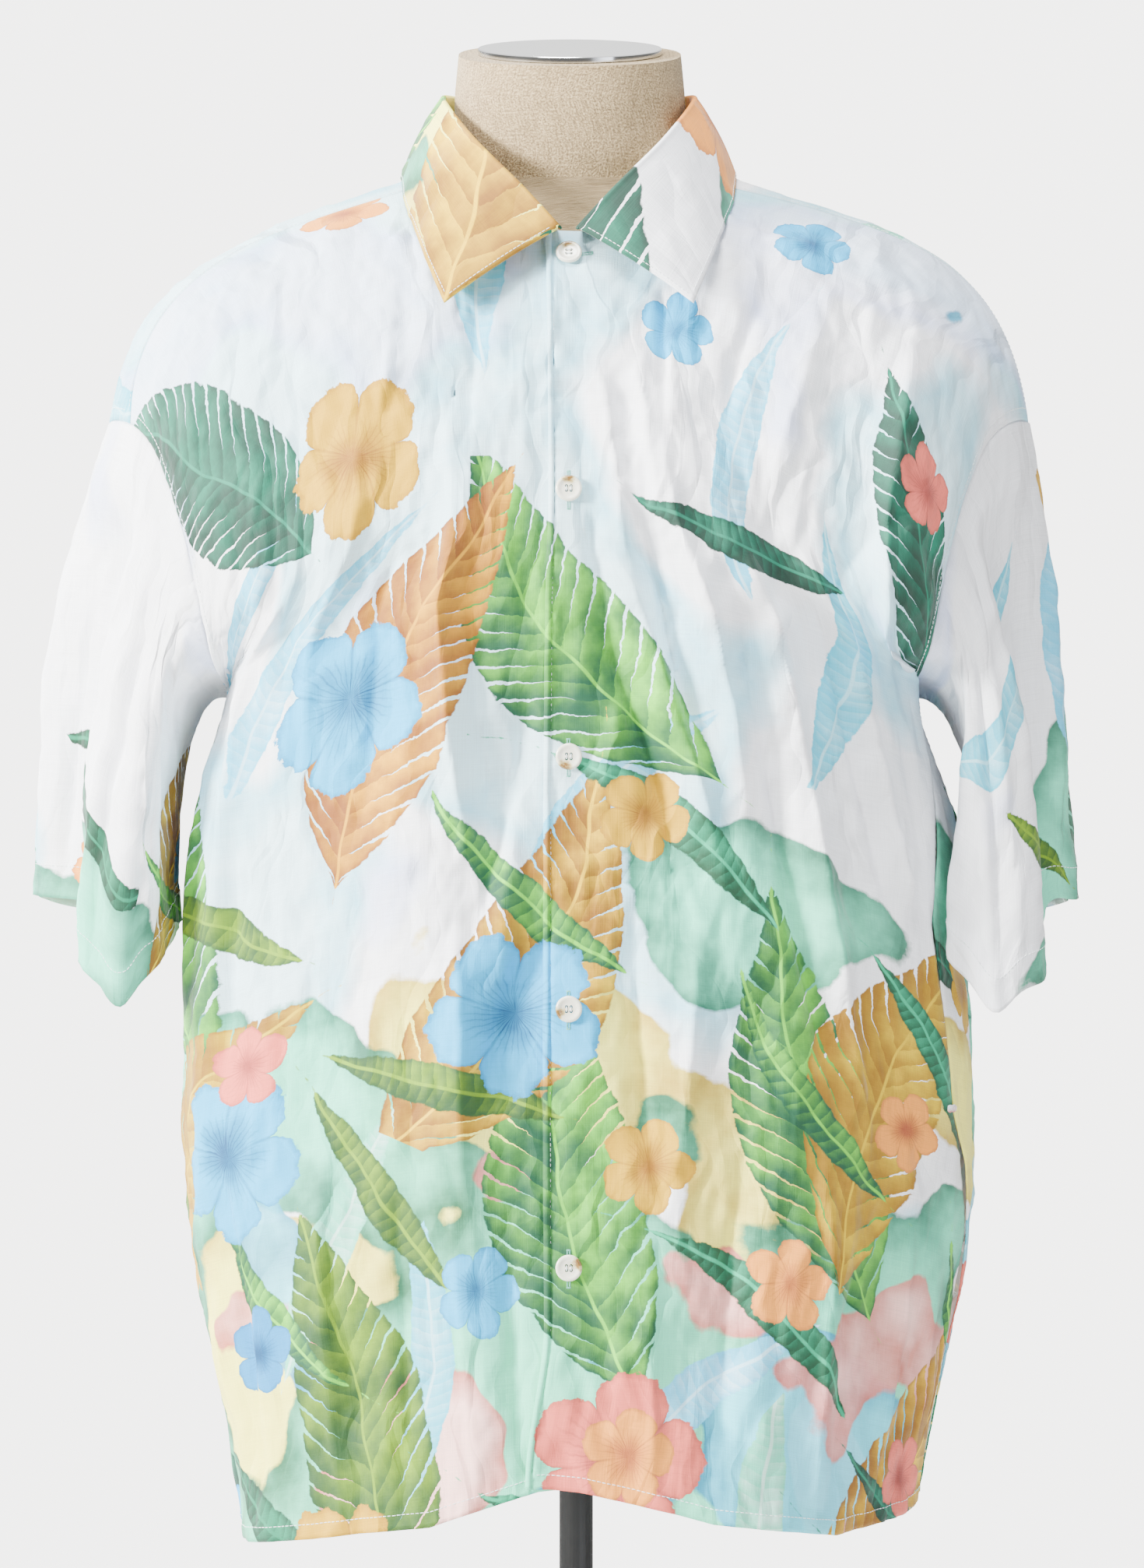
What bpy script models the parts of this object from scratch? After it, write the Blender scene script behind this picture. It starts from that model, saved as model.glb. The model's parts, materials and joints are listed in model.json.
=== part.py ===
"""Short-sleeve camp shirt, buttoned on a limbless dress form that stands on a pole and a round base.

Units are metres, +Z is up, the shirt faces -Y and +X is the wearer's left. The origin is the middle of
the base's underside. Heights in the tables are measured from the shirt's hem level, HEM_Z.

Each half of the shirt's body is one sheet that runs over the shoulder. A point on it is named by
DROP, the distance down from the shoulder ridge (positive in front, negative behind), and by SPAN, the
share of the way from the centre line to the armhole or, below the underarm, to the side.
"""

import math
from collections import namedtuple

import bmesh
import bpy
import numpy as np

# Driving dimensions.
HEM_Z = 0.720
GARMENT_X = -0.004
CLOTH = 0.0012
SEAM_GAP = 0.0003
PANEL_WIDTH = 0.290
EDGE = SEAM_GAP / PANEL_WIDTH
UNDERARM = 0.310
HEM = 0.777
OVERLAP = 0.0130
LAYER = 0.0012
LAYER_FADE = (0.018, 0.045)
NECK_HALF = 0.0720
NECK_FRONT_DROP = 0.1020
NECK_BACK_DROP = 0.0560
NECK_STEPS = 6
NECK_CORNER = 1.05
VENT_TOP = 0.550
VENT_LIFT = (0.0012, -0.0022)
VENT_EASE_DROP = 0.03
VENT_EASE_SPAN = 0.16
PLACKET_KICK = 0.0110
KICK_FROM = 0.690
KICK_REACH = 0.090

BUTTON_DROPS = (0.118, 0.252, 0.393, 0.526, 0.663)
BUTTON_RADIUS = 0.0070
BUTTON_THICK = 0.0026
BUTTON_HOLE_RADIUS = 0.0009
BUTTON_HOLE_REACH = 0.0017
BUTTON_PROFILE = (
    (0.00, 0.55),
    (0.62, 0.55),
    (0.78, 1.00),
    (0.92, 0.92),
    (1.00, 0.35),
    (0.96, -0.45),
    (0.80, -1.00),
    (0.00, -1.00),
)
TACK_LENGTH = 0.0085
TACK_THICK = 0.0014
TACK_HEIGHT = 0.0040
TACK_BEVEL = 0.0004
TACK_INSET = 0.012
TACK_FACING_SPAN = 0.99

NECK_TILT = math.radians(13.0)
NECK_TILT_FROM = 0.740
TORSO_X = -0.0035
CAP_RADIUS = 0.0505
CAP_THICK = 0.0034
CAP_TOP_BEVEL = (0.0016, 0.0005)
CAP_RIM_BEVEL = (0.0004, 0.0014)
CAP_FOOT_BEVEL = 0.0006
POLE_RADIUS = 0.0092
POLE_SHARP_ANGLE = math.radians(40)
BASE_RADIUS = 0.170
BASE_THICK = 0.008
HUB_RADIUS = 0.026
HUB_HEIGHT = 0.020
HUB_BEVEL = 0.003
BASE_BEVEL = 0.002
BASE_FOOT_BEVEL = 0.001

# One row for each cross line of a half sheet. MID is the centre line (x = 0), PULL and FALL how far the
# line first runs out and down, CTRL and END where it turns and where it stops: at the armhole down to
# the underarm, and at the side below it.
Row = namedtuple("Row", "drop mid_y mid_z pull fall ctrl_x ctrl_y ctrl_z end_x end_y end_z")

SHEET_ROWS = [
    Row(-0.777, 0.148, 0.026, 0.112, 0.004, 0.188, 0.110, 0.004, 0.186, 0.000, -0.001),
    Row(-0.690, 0.147, 0.120, 0.118, 0.000, 0.200, 0.110, 0.090, 0.197, 0.000, 0.086),
    Row(-0.610, 0.144, 0.203, 0.124, 0.000, 0.211, 0.110, 0.175, 0.208, 0.000, 0.163),
    Row(-0.530, 0.141, 0.286, 0.126, 0.000, 0.213, 0.108, 0.250, 0.211, 0.000, 0.240),
    Row(-0.450, 0.137, 0.366, 0.124, 0.000, 0.208, 0.108, 0.332, 0.206, 0.000, 0.318),
    Row(-0.360, 0.133, 0.456, 0.120, 0.000, 0.201, 0.110, 0.420, 0.198, 0.000, 0.402),
    Row(-0.310, 0.131, 0.506, 0.118, 0.000, 0.193, 0.112, 0.468, 0.185, 0.000, 0.448),
    Row(-0.260, 0.128, 0.556, 0.116, 0.000, 0.184, 0.126, 0.512, 0.196, 0.076, 0.468),
    Row(-0.210, 0.124, 0.606, 0.118, 0.000, 0.190, 0.126, 0.548, 0.207, 0.096, 0.505),
    Row(-0.150, 0.114, 0.662, 0.126, 0.002, 0.208, 0.112, 0.604, 0.220, 0.088, 0.548),
    Row(-0.095, 0.092, 0.708, 0.138, 0.012, 0.226, 0.084, 0.662, 0.235, 0.066, 0.587),
    Row(-0.045, 0.054, 0.744, 0.152, 0.038, 0.234, 0.044, 0.694, 0.248, 0.038, 0.601),
    Row(0.000, 0.008, 0.766, 0.164, 0.055, 0.237, 0.006, 0.702, 0.252, 0.004, 0.604),
    Row(0.045, -0.036, 0.743, 0.152, 0.037, 0.232, -0.036, 0.694, 0.243, -0.032, 0.603),
    Row(0.095, -0.076, 0.706, 0.136, 0.012, 0.221, -0.076, 0.658, 0.224, -0.062, 0.588),
    Row(0.150, -0.104, 0.659, 0.124, 0.002, 0.203, -0.104, 0.602, 0.207, -0.083, 0.545),
    Row(0.210, -0.119, 0.603, 0.118, 0.000, 0.184, -0.122, 0.545, 0.197, -0.090, 0.503),
    Row(0.260, -0.126, 0.553, 0.116, 0.000, 0.178, -0.124, 0.508, 0.189, -0.072, 0.467),
    Row(0.310, -0.130, 0.503, 0.118, 0.000, 0.191, -0.114, 0.466, 0.185, 0.000, 0.448),
    Row(0.360, -0.132, 0.453, 0.120, 0.000, 0.198, -0.110, 0.418, 0.198, 0.000, 0.402),
    Row(0.450, -0.135, 0.364, 0.124, 0.000, 0.206, -0.106, 0.330, 0.206, 0.000, 0.318),
    Row(0.530, -0.138, 0.284, 0.126, 0.000, 0.211, -0.104, 0.250, 0.211, 0.000, 0.240),
    Row(0.610, -0.141, 0.205, 0.124, 0.000, 0.208, -0.104, 0.175, 0.208, 0.000, 0.163),
    Row(0.690, -0.143, 0.126, 0.118, 0.002, 0.197, -0.106, 0.092, 0.197, 0.000, 0.086),
    Row(0.777, -0.144, 0.037, 0.112, 0.010, 0.186, -0.108, 0.004, 0.186, 0.000, -0.001),
]

# How each side differs from the even shape: the width that it gains at the waist and at the hem, where
# its side seam lies (a share of SPAN past the side, at SEAM_SHIFT_DROPS), how far in front of the ridge
# its shoulder seam lies (at SHOULDER_SPANS), how much higher its shoulder point is, how much lower its
# front and back hems hang (at HEM_SPANS) and the sleeve's outward swing.
Side = namedtuple("Side", "sign widen lift seam_shift shoulder front_sag back_sag swing")
SEAM_SHIFT_DROPS = (0.310, 0.345, 0.450, 0.550, 0.620, 0.777)
SHOULDER_SPANS = (0.25, 0.60, 0.78, 1.00)
HEM_SPANS = (0.00, 0.06, 0.28, 0.55, 0.80, 1.00)
WIDEN_WAIST = (0.27, 0.42)
WIDEN_HEM = (0.60, 0.777)
LIFT_FADE = (0.03, 0.14)
RIGHT_HALF = Side(
    sign=-1,
    widen=(-0.002, -0.009),
    lift=0.002,
    seam_shift=(0.0, 0.03, 0.05, 0.05, 0.03, 0.02),
    shoulder=(0.030, 0.034, 0.046, 0.062),
    front_sag=(0.0, 0.0, 0.011, 0.008, 0.003, 0.0),
    back_sag=(0.0, 0.0, 0.004, 0.002, -0.002, -0.004),
    swing=0.16,
)
LEFT_HALF = Side(
    sign=1,
    widen=(0.010, 0.001),
    lift=0.014,
    seam_shift=(0.0, -0.20, -0.27, -0.22, -0.12, -0.06),
    shoulder=(0.030, 0.026, 0.016, 0.004),
    front_sag=(0.0, 0.0, 0.009, 0.006, -0.008, -0.022),
    back_sag=(0.0, 0.0, -0.002, -0.006, -0.014, -0.020),
    swing=0.02,
)

# Half the distance over which a normal is measured, as a drop and as a share of SPAN.
NORMAL_STEP = 0.004

# The largest folds. A fold runs from TOP to FOOT (drops), its crest from SPAN_TOP to SPAN_FOOT.
# A positive HEIGHT stands out, a negative one is a trough.
Fold = namedtuple("Fold", "sign top foot span_top span_foot width height")
FOLDS = [
    Fold(-1, 0.17, 0.62, 0.27, 0.22, 0.055, 0.0085),
    Fold(-1, 0.26, 0.78, 0.50, 0.46, 0.060, -0.0085),
    Fold(-1, 0.34, 0.78, 0.76, 0.72, 0.060, 0.0100),
    Fold(1, 0.15, 0.46, 0.20, 0.46, 0.050, 0.0075),
    Fold(1, 0.20, 0.66, 0.40, 0.62, 0.055, -0.0080),
    Fold(1, 0.48, 0.78, 0.44, 0.38, 0.060, 0.0090),
    Fold(1, 0.56, 0.78, 0.72, 0.70, 0.055, -0.0080),
    Fold(-1, -0.20, -0.78, 0.26, 0.32, 0.065, 0.0100),
    Fold(-1, -0.30, -0.78, 0.66, 0.62, 0.060, -0.0090),
    Fold(1, -0.18, -0.78, 0.30, 0.22, 0.065, -0.0090),
    Fold(1, -0.26, -0.78, 0.60, 0.66, 0.060, 0.0100),
]
# Where a fold grows and dies along its length, and where it may stand between the middle and the edge.
FOLD_GROW = (0.0, 0.35)
FOLD_DIE = (1.0, 1.25)
FOLD_FROM_MIDDLE = (0.0, 0.10)
FOLD_TO_EDGE = (0.88, 1.0)

# The sleeve's hem, from the inner side round the front, the outside and the back.
HemPoint = namedtuple("HemPoint", "turn right_x left_x y right_z left_z")
SLEEVE_HEM = [
    HemPoint(0.00, 0.213, 0.2260, -0.005, 0.332, 0.334),
    HemPoint(0.10, 0.215, 0.2160, -0.052, 0.320, 0.326),
    HemPoint(0.17, 0.225, 0.2050, -0.080, 0.304, 0.309),
    HemPoint(0.22, 0.239, 0.2260, -0.090, 0.289, 0.286),
    HemPoint(0.28, 0.256, 0.2500, -0.080, 0.304, 0.299),
    HemPoint(0.34, 0.259, 0.259, -0.052, 0.327, 0.313),
    HemPoint(0.39, 0.261, 0.262, -0.030, 0.340, 0.338),
    HemPoint(0.46, 0.284, 0.273, -0.014, 0.344, 0.343),
    HemPoint(0.55, 0.297, 0.281, 0.020, 0.345, 0.344),
    HemPoint(0.65, 0.288, 0.276, 0.056, 0.340, 0.340),
    HemPoint(0.76, 0.262, 0.258, 0.080, 0.334, 0.334),
    HemPoint(0.89, 0.226, 0.234, 0.050, 0.332, 0.332),
]

# How the sleeve leaves the armhole (x outwards) and how far each direction carries.
SleeveStart = namedtuple("SleeveStart", "turn x y z carry")
SLEEVE_STARTS = [
    SleeveStart(0.00, 0.98, 0.00, 0.12, 0.075),
    SleeveStart(0.10, 0.90, 0.10, -0.10, 0.085),
    SleeveStart(0.20, 0.55, 0.22, -0.70, 0.140),
    SleeveStart(0.35, 0.18, 0.10, -0.97, 0.260),
    SleeveStart(0.50, 0.20, 0.00, -0.98, 0.300),
    SleeveStart(0.65, 0.18, -0.10, -0.97, 0.260),
    SleeveStart(0.80, 0.55, -0.22, -0.70, 0.140),
    SleeveStart(0.90, 0.90, -0.10, -0.10, 0.085),
]
SLEEVE_CLEAR = 0.0011
SLEEVE_LIFT = 0.0038
SLEEVE_END_CARRY = 0.20
SLEEVE_END_FLARE = 1.6
SWING_TURNS = (0.15, 0.45, 0.60, 0.90)
UNDERARM_TURN = 0.20

# The collar, by how far round the neckline its foot lies (0 at the centre front, 1 at the centre back).
# The roll is the fold at the top and the edge is the outer rim of the fall.
CollarPost = namedtuple("CollarPost", "turn roll_x roll_y roll_z edge_x edge_y edge_z")
COLLAR_POSTS = [
    CollarPost(0.035, 0.0050, -0.0960, 0.7010, 0.0660, -0.1180, 0.6600),
    CollarPost(0.120, 0.0255, -0.0860, 0.7240, 0.0735, -0.1010, 0.6785),
    CollarPost(0.225, 0.0470, -0.0660, 0.7470, 0.0810, -0.0800, 0.6985),
    CollarPost(0.335, 0.0620, -0.0380, 0.7670, 0.0875, -0.0480, 0.7185),
    CollarPost(0.500, 0.0690, 0.0020, 0.7820, 0.0915, 0.0020, 0.7395),
    CollarPost(0.680, 0.0580, 0.0450, 0.7860, 0.0820, 0.0580, 0.7300),
    CollarPost(0.850, 0.0290, 0.0690, 0.7870, 0.0440, 0.0930, 0.7180),
    CollarPost(1.000, 0.0000, 0.0760, 0.7875, 0.0000, 0.1040, 0.7150),
]
COLLAR_INSET = 0.0018
COLLAR_RISE = 0.0034
COLLAR_FOLD = 0.0020
COLLAR_SAG = 0.0025
COLLAR_CROWN = 0.55

# The form, from its flat underside to the neck. SQUARE is the power of each ring's outline: 2 is an oval,
# more is squarer and less is nearer a diamond.
Ring = namedtuple("Ring", "z half_x front_y back_y square")
TORSO_RINGS = [
    Ring(0.100, 0.140, 0.094, 0.092, 2.35),
    Ring(0.106, 0.149, 0.103, 0.101, 2.35),
    Ring(0.122, 0.154, 0.107, 0.105, 2.35),
    Ring(0.220, 0.160, 0.112, 0.110, 2.35),
    Ring(0.340, 0.158, 0.110, 0.110, 2.35),
    Ring(0.460, 0.160, 0.109, 0.111, 2.35),
    Ring(0.540, 0.170, 0.108, 0.110, 2.35),
    Ring(0.600, 0.184, 0.103, 0.104, 2.35),
    Ring(0.642, 0.192, 0.091, 0.090, 2.30),
    Ring(0.672, 0.187, 0.076, 0.076, 2.10),
    Ring(0.699, 0.174, 0.067, 0.067, 1.80),
    Ring(0.713, 0.151, 0.060, 0.059, 1.60),
    Ring(0.7222, 0.121, 0.0570, 0.0545, 1.50),
    Ring(0.7281, 0.092, 0.0560, 0.0535, 1.55),
    Ring(0.7330, 0.0705, 0.0555, 0.0530, 1.90),
    Ring(0.746, 0.0640, 0.0580, 0.0560, 2.20),
    Ring(0.785, 0.0630, 0.0600, 0.0590, 2.25),
    Ring(0.806, 0.0610, 0.0590, 0.0585, 2.25),
]

OUTER_COLUMNS = 7
ARMHOLE_ROWS = 13
SIDE_ROWS = 12
SLEEVE_ROWS = 11
COLLAR_SIDE_POINTS = 3
TORSO_TURNS = 40
ROUND_STEPS = 48
BUTTON_STEPS = 20
HOLE_STEPS = 8
POLE_STEPS = 32
ROW_SAMPLES = 25


def smooth_step(low, high, value):
    """0 below low, 1 above high and an even S between them."""
    share = np.clip((value - low) / (high - low), 0.0, 1.0)
    return share * share * (3.0 - 2.0 * share)


def spline(knots, values, at):
    """A natural cubic spline through the values at the knots. Values may have one column or several."""
    knots = np.asarray(knots, float)
    values = np.asarray(values, float).reshape(len(knots), -1)
    step = np.diff(knots)
    slope = np.diff(values, axis=0) / step[:, None]
    system = np.eye(len(knots))
    right = np.zeros_like(values)
    for i in range(1, len(knots) - 1):
        system[i, i - 1 : i + 2] = step[i - 1], 2 * (step[i - 1] + step[i]), step[i]
        right[i] = 6 * (slope[i] - slope[i - 1])
    bend = np.linalg.solve(system, right)
    at = np.asarray(at, float)
    cell = np.clip(np.searchsorted(knots, at) - 1, 0, len(step) - 1)
    h = step[cell][..., None]
    a = (knots[cell + 1] - at)[..., None] / h
    b = 1.0 - a
    cubic = ((a**3 - a) * bend[cell] + (b**3 - b) * bend[cell + 1]) * h * h / 6
    return a * values[cell] + b * values[cell + 1] + cubic


def ring_spline(knots, values, at):
    """The same through values that repeat after a turn of 1."""
    knots = np.asarray(knots, float)
    values = np.asarray(values, float)
    wide_knots = np.concatenate([knots - 1, knots, knots + 1])
    return spline(wide_knots, np.concatenate([values] * 3), np.mod(at, 1.0))


def unit(vectors):
    return vectors / np.maximum(np.linalg.norm(vectors, axis=-1, keepdims=True), 1e-12)


# The half sheet.


def row_at(side, drop):
    """The named columns of SHEET_ROWS at these drops, widened for this side."""
    table = np.array(SHEET_ROWS)
    columns = spline(table[:, 0], table[:, 1:], drop)
    mirrored = spline(table[:, 0], table[:, 1:], -drop)
    below = (np.abs(drop) > UNDERARM)[..., None]
    columns[..., 7:10] = np.where(below, (columns[..., 7:10] + mirrored[..., 7:10]) / 2, columns[..., 7:10])
    waist, hem = side.widen
    gain = waist * smooth_step(*WIDEN_WAIST, np.abs(drop))
    gain += (hem - waist) * smooth_step(*WIDEN_HEM, np.abs(drop))
    columns[..., 4] += gain
    columns[..., 7] += gain
    columns[..., 6] += side.lift * (1 - smooth_step(*LIFT_FADE, np.abs(drop)))
    return columns


def on_row(side, drop, span):
    """Points of the half sheet, with SPAN measured along the row. Past 1 it goes on round the side."""
    drop, span = np.broadcast_arrays(np.asarray(drop, float), np.asarray(span, float))
    past = span > 1.0
    drop = np.where(past, -drop, drop)
    span = np.where(past, 2.0 - span, span)
    row = np.moveaxis(row_at(side, drop), -1, 0)
    mid_y, mid_z, pull, fall, ctrl_x, ctrl_y, ctrl_z, end_x, end_y, end_z = row
    zero = np.zeros_like(mid_y)
    start = np.stack([zero, mid_y, mid_z], -1)
    first = np.stack([pull, mid_y, mid_z - fall], -1)
    second = np.stack([ctrl_x, ctrl_y, ctrl_z], -1)
    end = np.stack([end_x, end_y, end_z], -1)
    t = np.linspace(0.0, 1.0, ROW_SAMPLES).reshape((-1,) + (1,) * (drop.ndim + 1))
    line = (1 - t) ** 3 * start + 3 * (1 - t) ** 2 * t * first + 3 * (1 - t) * t**2 * second + t**3 * end
    reach = np.concatenate([zero[None], np.cumsum(np.linalg.norm(np.diff(line, axis=0), axis=-1), axis=0)])
    length = reach[-1]
    wanted = np.clip(span, 0.0, 1.0) * length
    cell = np.clip((reach <= wanted[None]).sum(axis=0) - 1, 0, len(reach) - 2)
    low = np.take_along_axis(reach, cell[None], 0)[0]
    high = np.take_along_axis(reach, cell[None] + 1, 0)[0]
    share = ((wanted - low) / np.maximum(high - low, 1e-9))[..., None]
    before = np.take_along_axis(line, cell[None, ..., None], 0)[0]
    after = np.take_along_axis(line, cell[None, ..., None] + 1, 0)[0]
    points = before + (after - before) * share
    points[..., 0] += np.minimum(span, 0.0) * length
    points[..., 0] *= side.sign
    return points


def outward(side, drop, span):
    """Unit normals of the half sheet, away from the wearer."""
    step = NORMAL_STEP
    last = np.where(np.abs(drop) < UNDERARM + 2 * step, 1.0 - step, 2.0)
    middle = np.minimum(span, last)
    along = on_row(side, drop, middle + step) - on_row(side, drop, middle - step)
    turned = np.where(middle > 1.0, -1.0, 1.0)
    facing = on_row(side, drop + step * turned, middle) - on_row(side, drop - step * turned, middle)
    return unit(np.cross(along, facing)) * -side.sign


def fold_height(side, drop, span):
    """How far the largest folds move the cloth out at these points."""
    height = np.zeros(np.broadcast(drop, span).shape)
    past = span > 1.0
    drop = np.where(past, -drop, drop)
    span = np.where(past, 2.0 - span, span)
    for fold in FOLDS:
        if fold.sign != side.sign:
            continue
        along = (drop - fold.top) / (fold.foot - fold.top)
        crest = fold.span_top + (fold.span_foot - fold.span_top) * along
        across = (span - crest) * PANEL_WIDTH / (fold.width / 2)
        fade = smooth_step(*FOLD_GROW, along) * (1 - smooth_step(*FOLD_DIE, along))
        height += fold.height * fade * np.exp(-(across**2))
    ends = smooth_step(*FOLD_FROM_MIDDLE, span) * (1 - smooth_step(*FOLD_TO_EDGE, span))
    return height * ends


def cloth_point(side, drop, span, layer=0.0):
    """Points of the sheet's middle with its folds, and LAYER moved out near the front edge."""
    drop, span = np.broadcast_arrays(np.asarray(drop, float), np.asarray(span, float))
    from_middle = np.abs(span) * PANEL_WIDTH
    lift = layer * (1 - smooth_step(*LAYER_FADE, from_middle))
    points = on_row(side, drop, span)
    kick = PLACKET_KICK * smooth_step(KICK_FROM, HEM, drop) * (1 - smooth_step(0.0, KICK_REACH, from_middle))
    points[..., 0] -= np.where(layer > 0, kick, 0.0)
    return points + outward(side, drop, span) * (fold_height(side, drop, span) + lift)[..., None]


# Where the sheets are cut.


def shoulder_drop(side, span):
    """How far in front of the ridge the shoulder seam lies."""
    return np.interp(span, SHOULDER_SPANS, side.shoulder)


def neckline_drop(span_metres, depth):
    """The neckline's curve over the distance from the centre line."""
    share = np.clip(1 - (span_metres / NECK_HALF) ** 2, 0.0, 1.0)
    return depth * np.sqrt(share)


def side_seam_span(side, drop):
    """Where the armhole or the side seam lies, as a SPAN on the front sheet."""
    return 1.0 + np.interp(np.abs(drop), SEAM_SHIFT_DROPS, side.seam_shift)


def front_top(side, span):
    """The upper edge of a front: the neckline, then the shoulder seam."""
    neck = neckline_drop(np.abs(span) * PANEL_WIDTH, NECK_FRONT_DROP)
    return np.maximum(neck, shoulder_drop(side, span) + SEAM_GAP)


def back_top(side, span):
    """The upper edge of the back: the neckline behind the ridge, then the shoulder seam before it."""
    metres = np.abs(span) * PANEL_WIDTH
    past_neck = np.clip((metres / NECK_HALF - 1) / (NECK_CORNER - 1), 0.0, 1.0)
    seam = (shoulder_drop(side, span) - SEAM_GAP) * past_neck
    return np.where(metres < NECK_HALF, -neckline_drop(metres, NECK_BACK_DROP), seam)


def column_shares():
    """Shares of a half panel's width: round the neckline in even turns, then evenly to the side."""
    neck = NECK_HALF / PANEL_WIDTH
    inner = neck * np.sin(np.linspace(0.0, math.pi / 2, NECK_STEPS + 1))
    return np.concatenate([inner, np.linspace(neck * NECK_CORNER, 1.0, OUTER_COLUMNS)])


def row_drops(top):
    """The drops of a panel's rows below TOP: a set number to the underarm and a set number to the hem."""
    upper = np.linspace(0.0, 1.0, ARMHOLE_ROWS)[:, None]
    lower = np.linspace(0.0, 1.0, SIDE_ROWS + 1)[1:, None]
    above = top + (UNDERARM - top) * upper
    below = UNDERARM + (HEM - UNDERARM) * lower + 0.0 * top
    return np.concatenate([above, below])


def hem_sag(sag, drop, span):
    """How much further down these points lie, so that the hem has its wave."""
    return smooth_step(VENT_TOP, HEM, drop) * np.interp(np.abs(span), HEM_SPANS, sag)


def vent_lift(drop, to_seam, lift):
    """How far the panel's edge stands off below the top of the vent."""
    below = smooth_step(VENT_TOP, VENT_TOP + VENT_EASE_DROP, drop)
    return lift * below * (1 - smooth_step(0.0, VENT_EASE_SPAN, to_seam))


def front_grid(side, layer):
    """Rows of points over one front, from its opening edge to the armhole and side seam."""
    shares = np.concatenate([[-OVERLAP / PANEL_WIDTH], column_shares()])
    top = front_top(side, shares)
    grid = []
    for drop in row_drops(top):
        end = side_seam_span(side, drop[-1]) - EDGE
        span = np.where(shares < 0, shares, shares * end)
        points = cloth_point(side, drop + hem_sag(side.front_sag, drop, span), span, layer)
        lift = vent_lift(drop, end - span, VENT_LIFT[0])
        grid.append(points + outward(side, drop, span) * lift[:, None])
    return np.array(grid)


def back_half(side):
    """Rows of points over one half of the back, from the centre to the armhole and side seam."""
    shares = column_shares()
    top = back_top(side, shares)
    grid = []
    for drop in row_drops(-top):
        end = 2.0 - side_seam_span(side, drop[-1]) - EDGE
        span = shares * end
        points = cloth_point(side, -drop - hem_sag(side.back_sag, drop, span), span)
        lift = vent_lift(drop, end - span, VENT_LIFT[1])
        grid.append(points + outward(side, -drop, span) * lift[:, None])
    return np.array(grid)


def armhole_drops(side):
    """The drops round an armhole, at the rows of the front and then of the back."""
    front = row_drops(front_top(side, np.array([1 - EDGE])))[:ARMHOLE_ROWS, 0]
    back = row_drops(-back_top(side, np.array([1 - EDGE])))[:ARMHOLE_ROWS, 0]
    return np.concatenate([front[:0:-1], [(front[0] - back[0]) / 2], -back[1:-1]])


def sleeve_grid(side, rows):
    """Rings of a sleeve, from the armhole to the hem."""
    drop = armhole_drops(side)
    turn = (1 - drop / UNDERARM) / 2
    starts = np.array(SLEEVE_STARTS)
    start = ring_spline(starts[:, 0], starts[:, 1:], turn)
    outside = smooth_step(*SWING_TURNS[:2], turn) * (1 - smooth_step(*SWING_TURNS[2:], turn))
    start[:, 0] += side.swing * outside
    lead = unit(start[:, :3]) * [side.sign, 1, 1]
    leave = lead * start[:, 3:]
    under = 1 - smooth_step(0.0, UNDERARM_TURN, np.minimum(turn, 1 - turn))
    armhole = on_row(side, drop, 1.0) + lead * SLEEVE_CLEAR
    armhole[:, 2] += SLEEVE_LIFT * under
    table = np.array(SLEEVE_HEM)
    right_x, left_x, y, right_z, left_z = ring_spline(table[:, 0], table[:, 1:], turn).T
    hem_x, hem_z = (right_x, right_z) if side.sign < 0 else (left_x, left_z)
    hem = np.stack([hem_x * side.sign, y, hem_z], -1)
    spread = (hem - hem.mean(axis=0)) * [1, 1, 0]
    arrive = unit(np.array([0.0, 0.0, -1.0]) + spread * SLEEVE_END_FLARE) * SLEEVE_END_CARRY
    grid = []
    for s in np.linspace(0.0, 1.0, rows):
        rise = s * s * (3 - 2 * s)
        bends = (s**3 - 2 * s**2 + s) * leave + (s**3 - s**2) * arrive
        grid.append((1 - rise) * armhole + rise * hem + bends)
    return np.array(grid)


def collar_foot(turn):
    """The collar's lower edge, inside the neckline. TURN is 0 at the centre front and 1 at the back."""
    angle = math.pi * turn
    metres = NECK_HALF * np.sin(angle)
    depth = np.where(np.cos(angle) > 0, NECK_FRONT_DROP, NECK_BACK_DROP)
    drop = depth * np.cos(angle)
    point = on_row(LEFT_HALF._replace(lift=0.0), drop, metres / PANEL_WIDTH)
    inward = np.array([-math.sin(angle), math.cos(angle), 0.0])
    rise = np.array([0.0, 0.0, COLLAR_RISE * max(math.cos(angle), 0.0)])
    return point + inward * COLLAR_INSET + rise


def collar_grid():
    """The collar's wall: up from the foot, over the roll and down to the edge, at each station."""
    posts = np.array(COLLAR_POSTS)
    half = np.concatenate([[posts[0, 0]], np.arange(1, 2 * NECK_STEPS + 1) / (2 * NECK_STEPS)])
    stations = [(-1, turn) for turn in half] + [(1, turn) for turn in half[-2::-1]]
    rows = []
    for sign, turn in stations:
        values = spline(posts[:, 0], posts[:, 1:], turn)
        foot = collar_foot(turn)
        roll = values[0:3]
        edge = values[3:6]
        out = unit((edge - roll) * [1, 1, 0])
        inner_top = roll - out * COLLAR_FOLD / 2
        outer_top = roll + out * COLLAR_FOLD / 2
        crown = roll + np.array([0.0, 0.0, COLLAR_FOLD * COLLAR_CROWN])
        inner = [foot + (inner_top - foot) * k / COLLAR_SIDE_POINTS for k in range(COLLAR_SIDE_POINTS + 1)]
        outer = []
        for k in range(COLLAR_SIDE_POINTS + 2):
            share = k / (COLLAR_SIDE_POINTS + 1)
            bulge = out * COLLAR_SAG * 4 * share * (1 - share)
            outer.append(outer_top + (edge - outer_top) * share + bulge)
        rows.append(np.array(inner + [crown] + outer) * [sign, 1, 1])
    return np.array(rows)


# Making objects.


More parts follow.
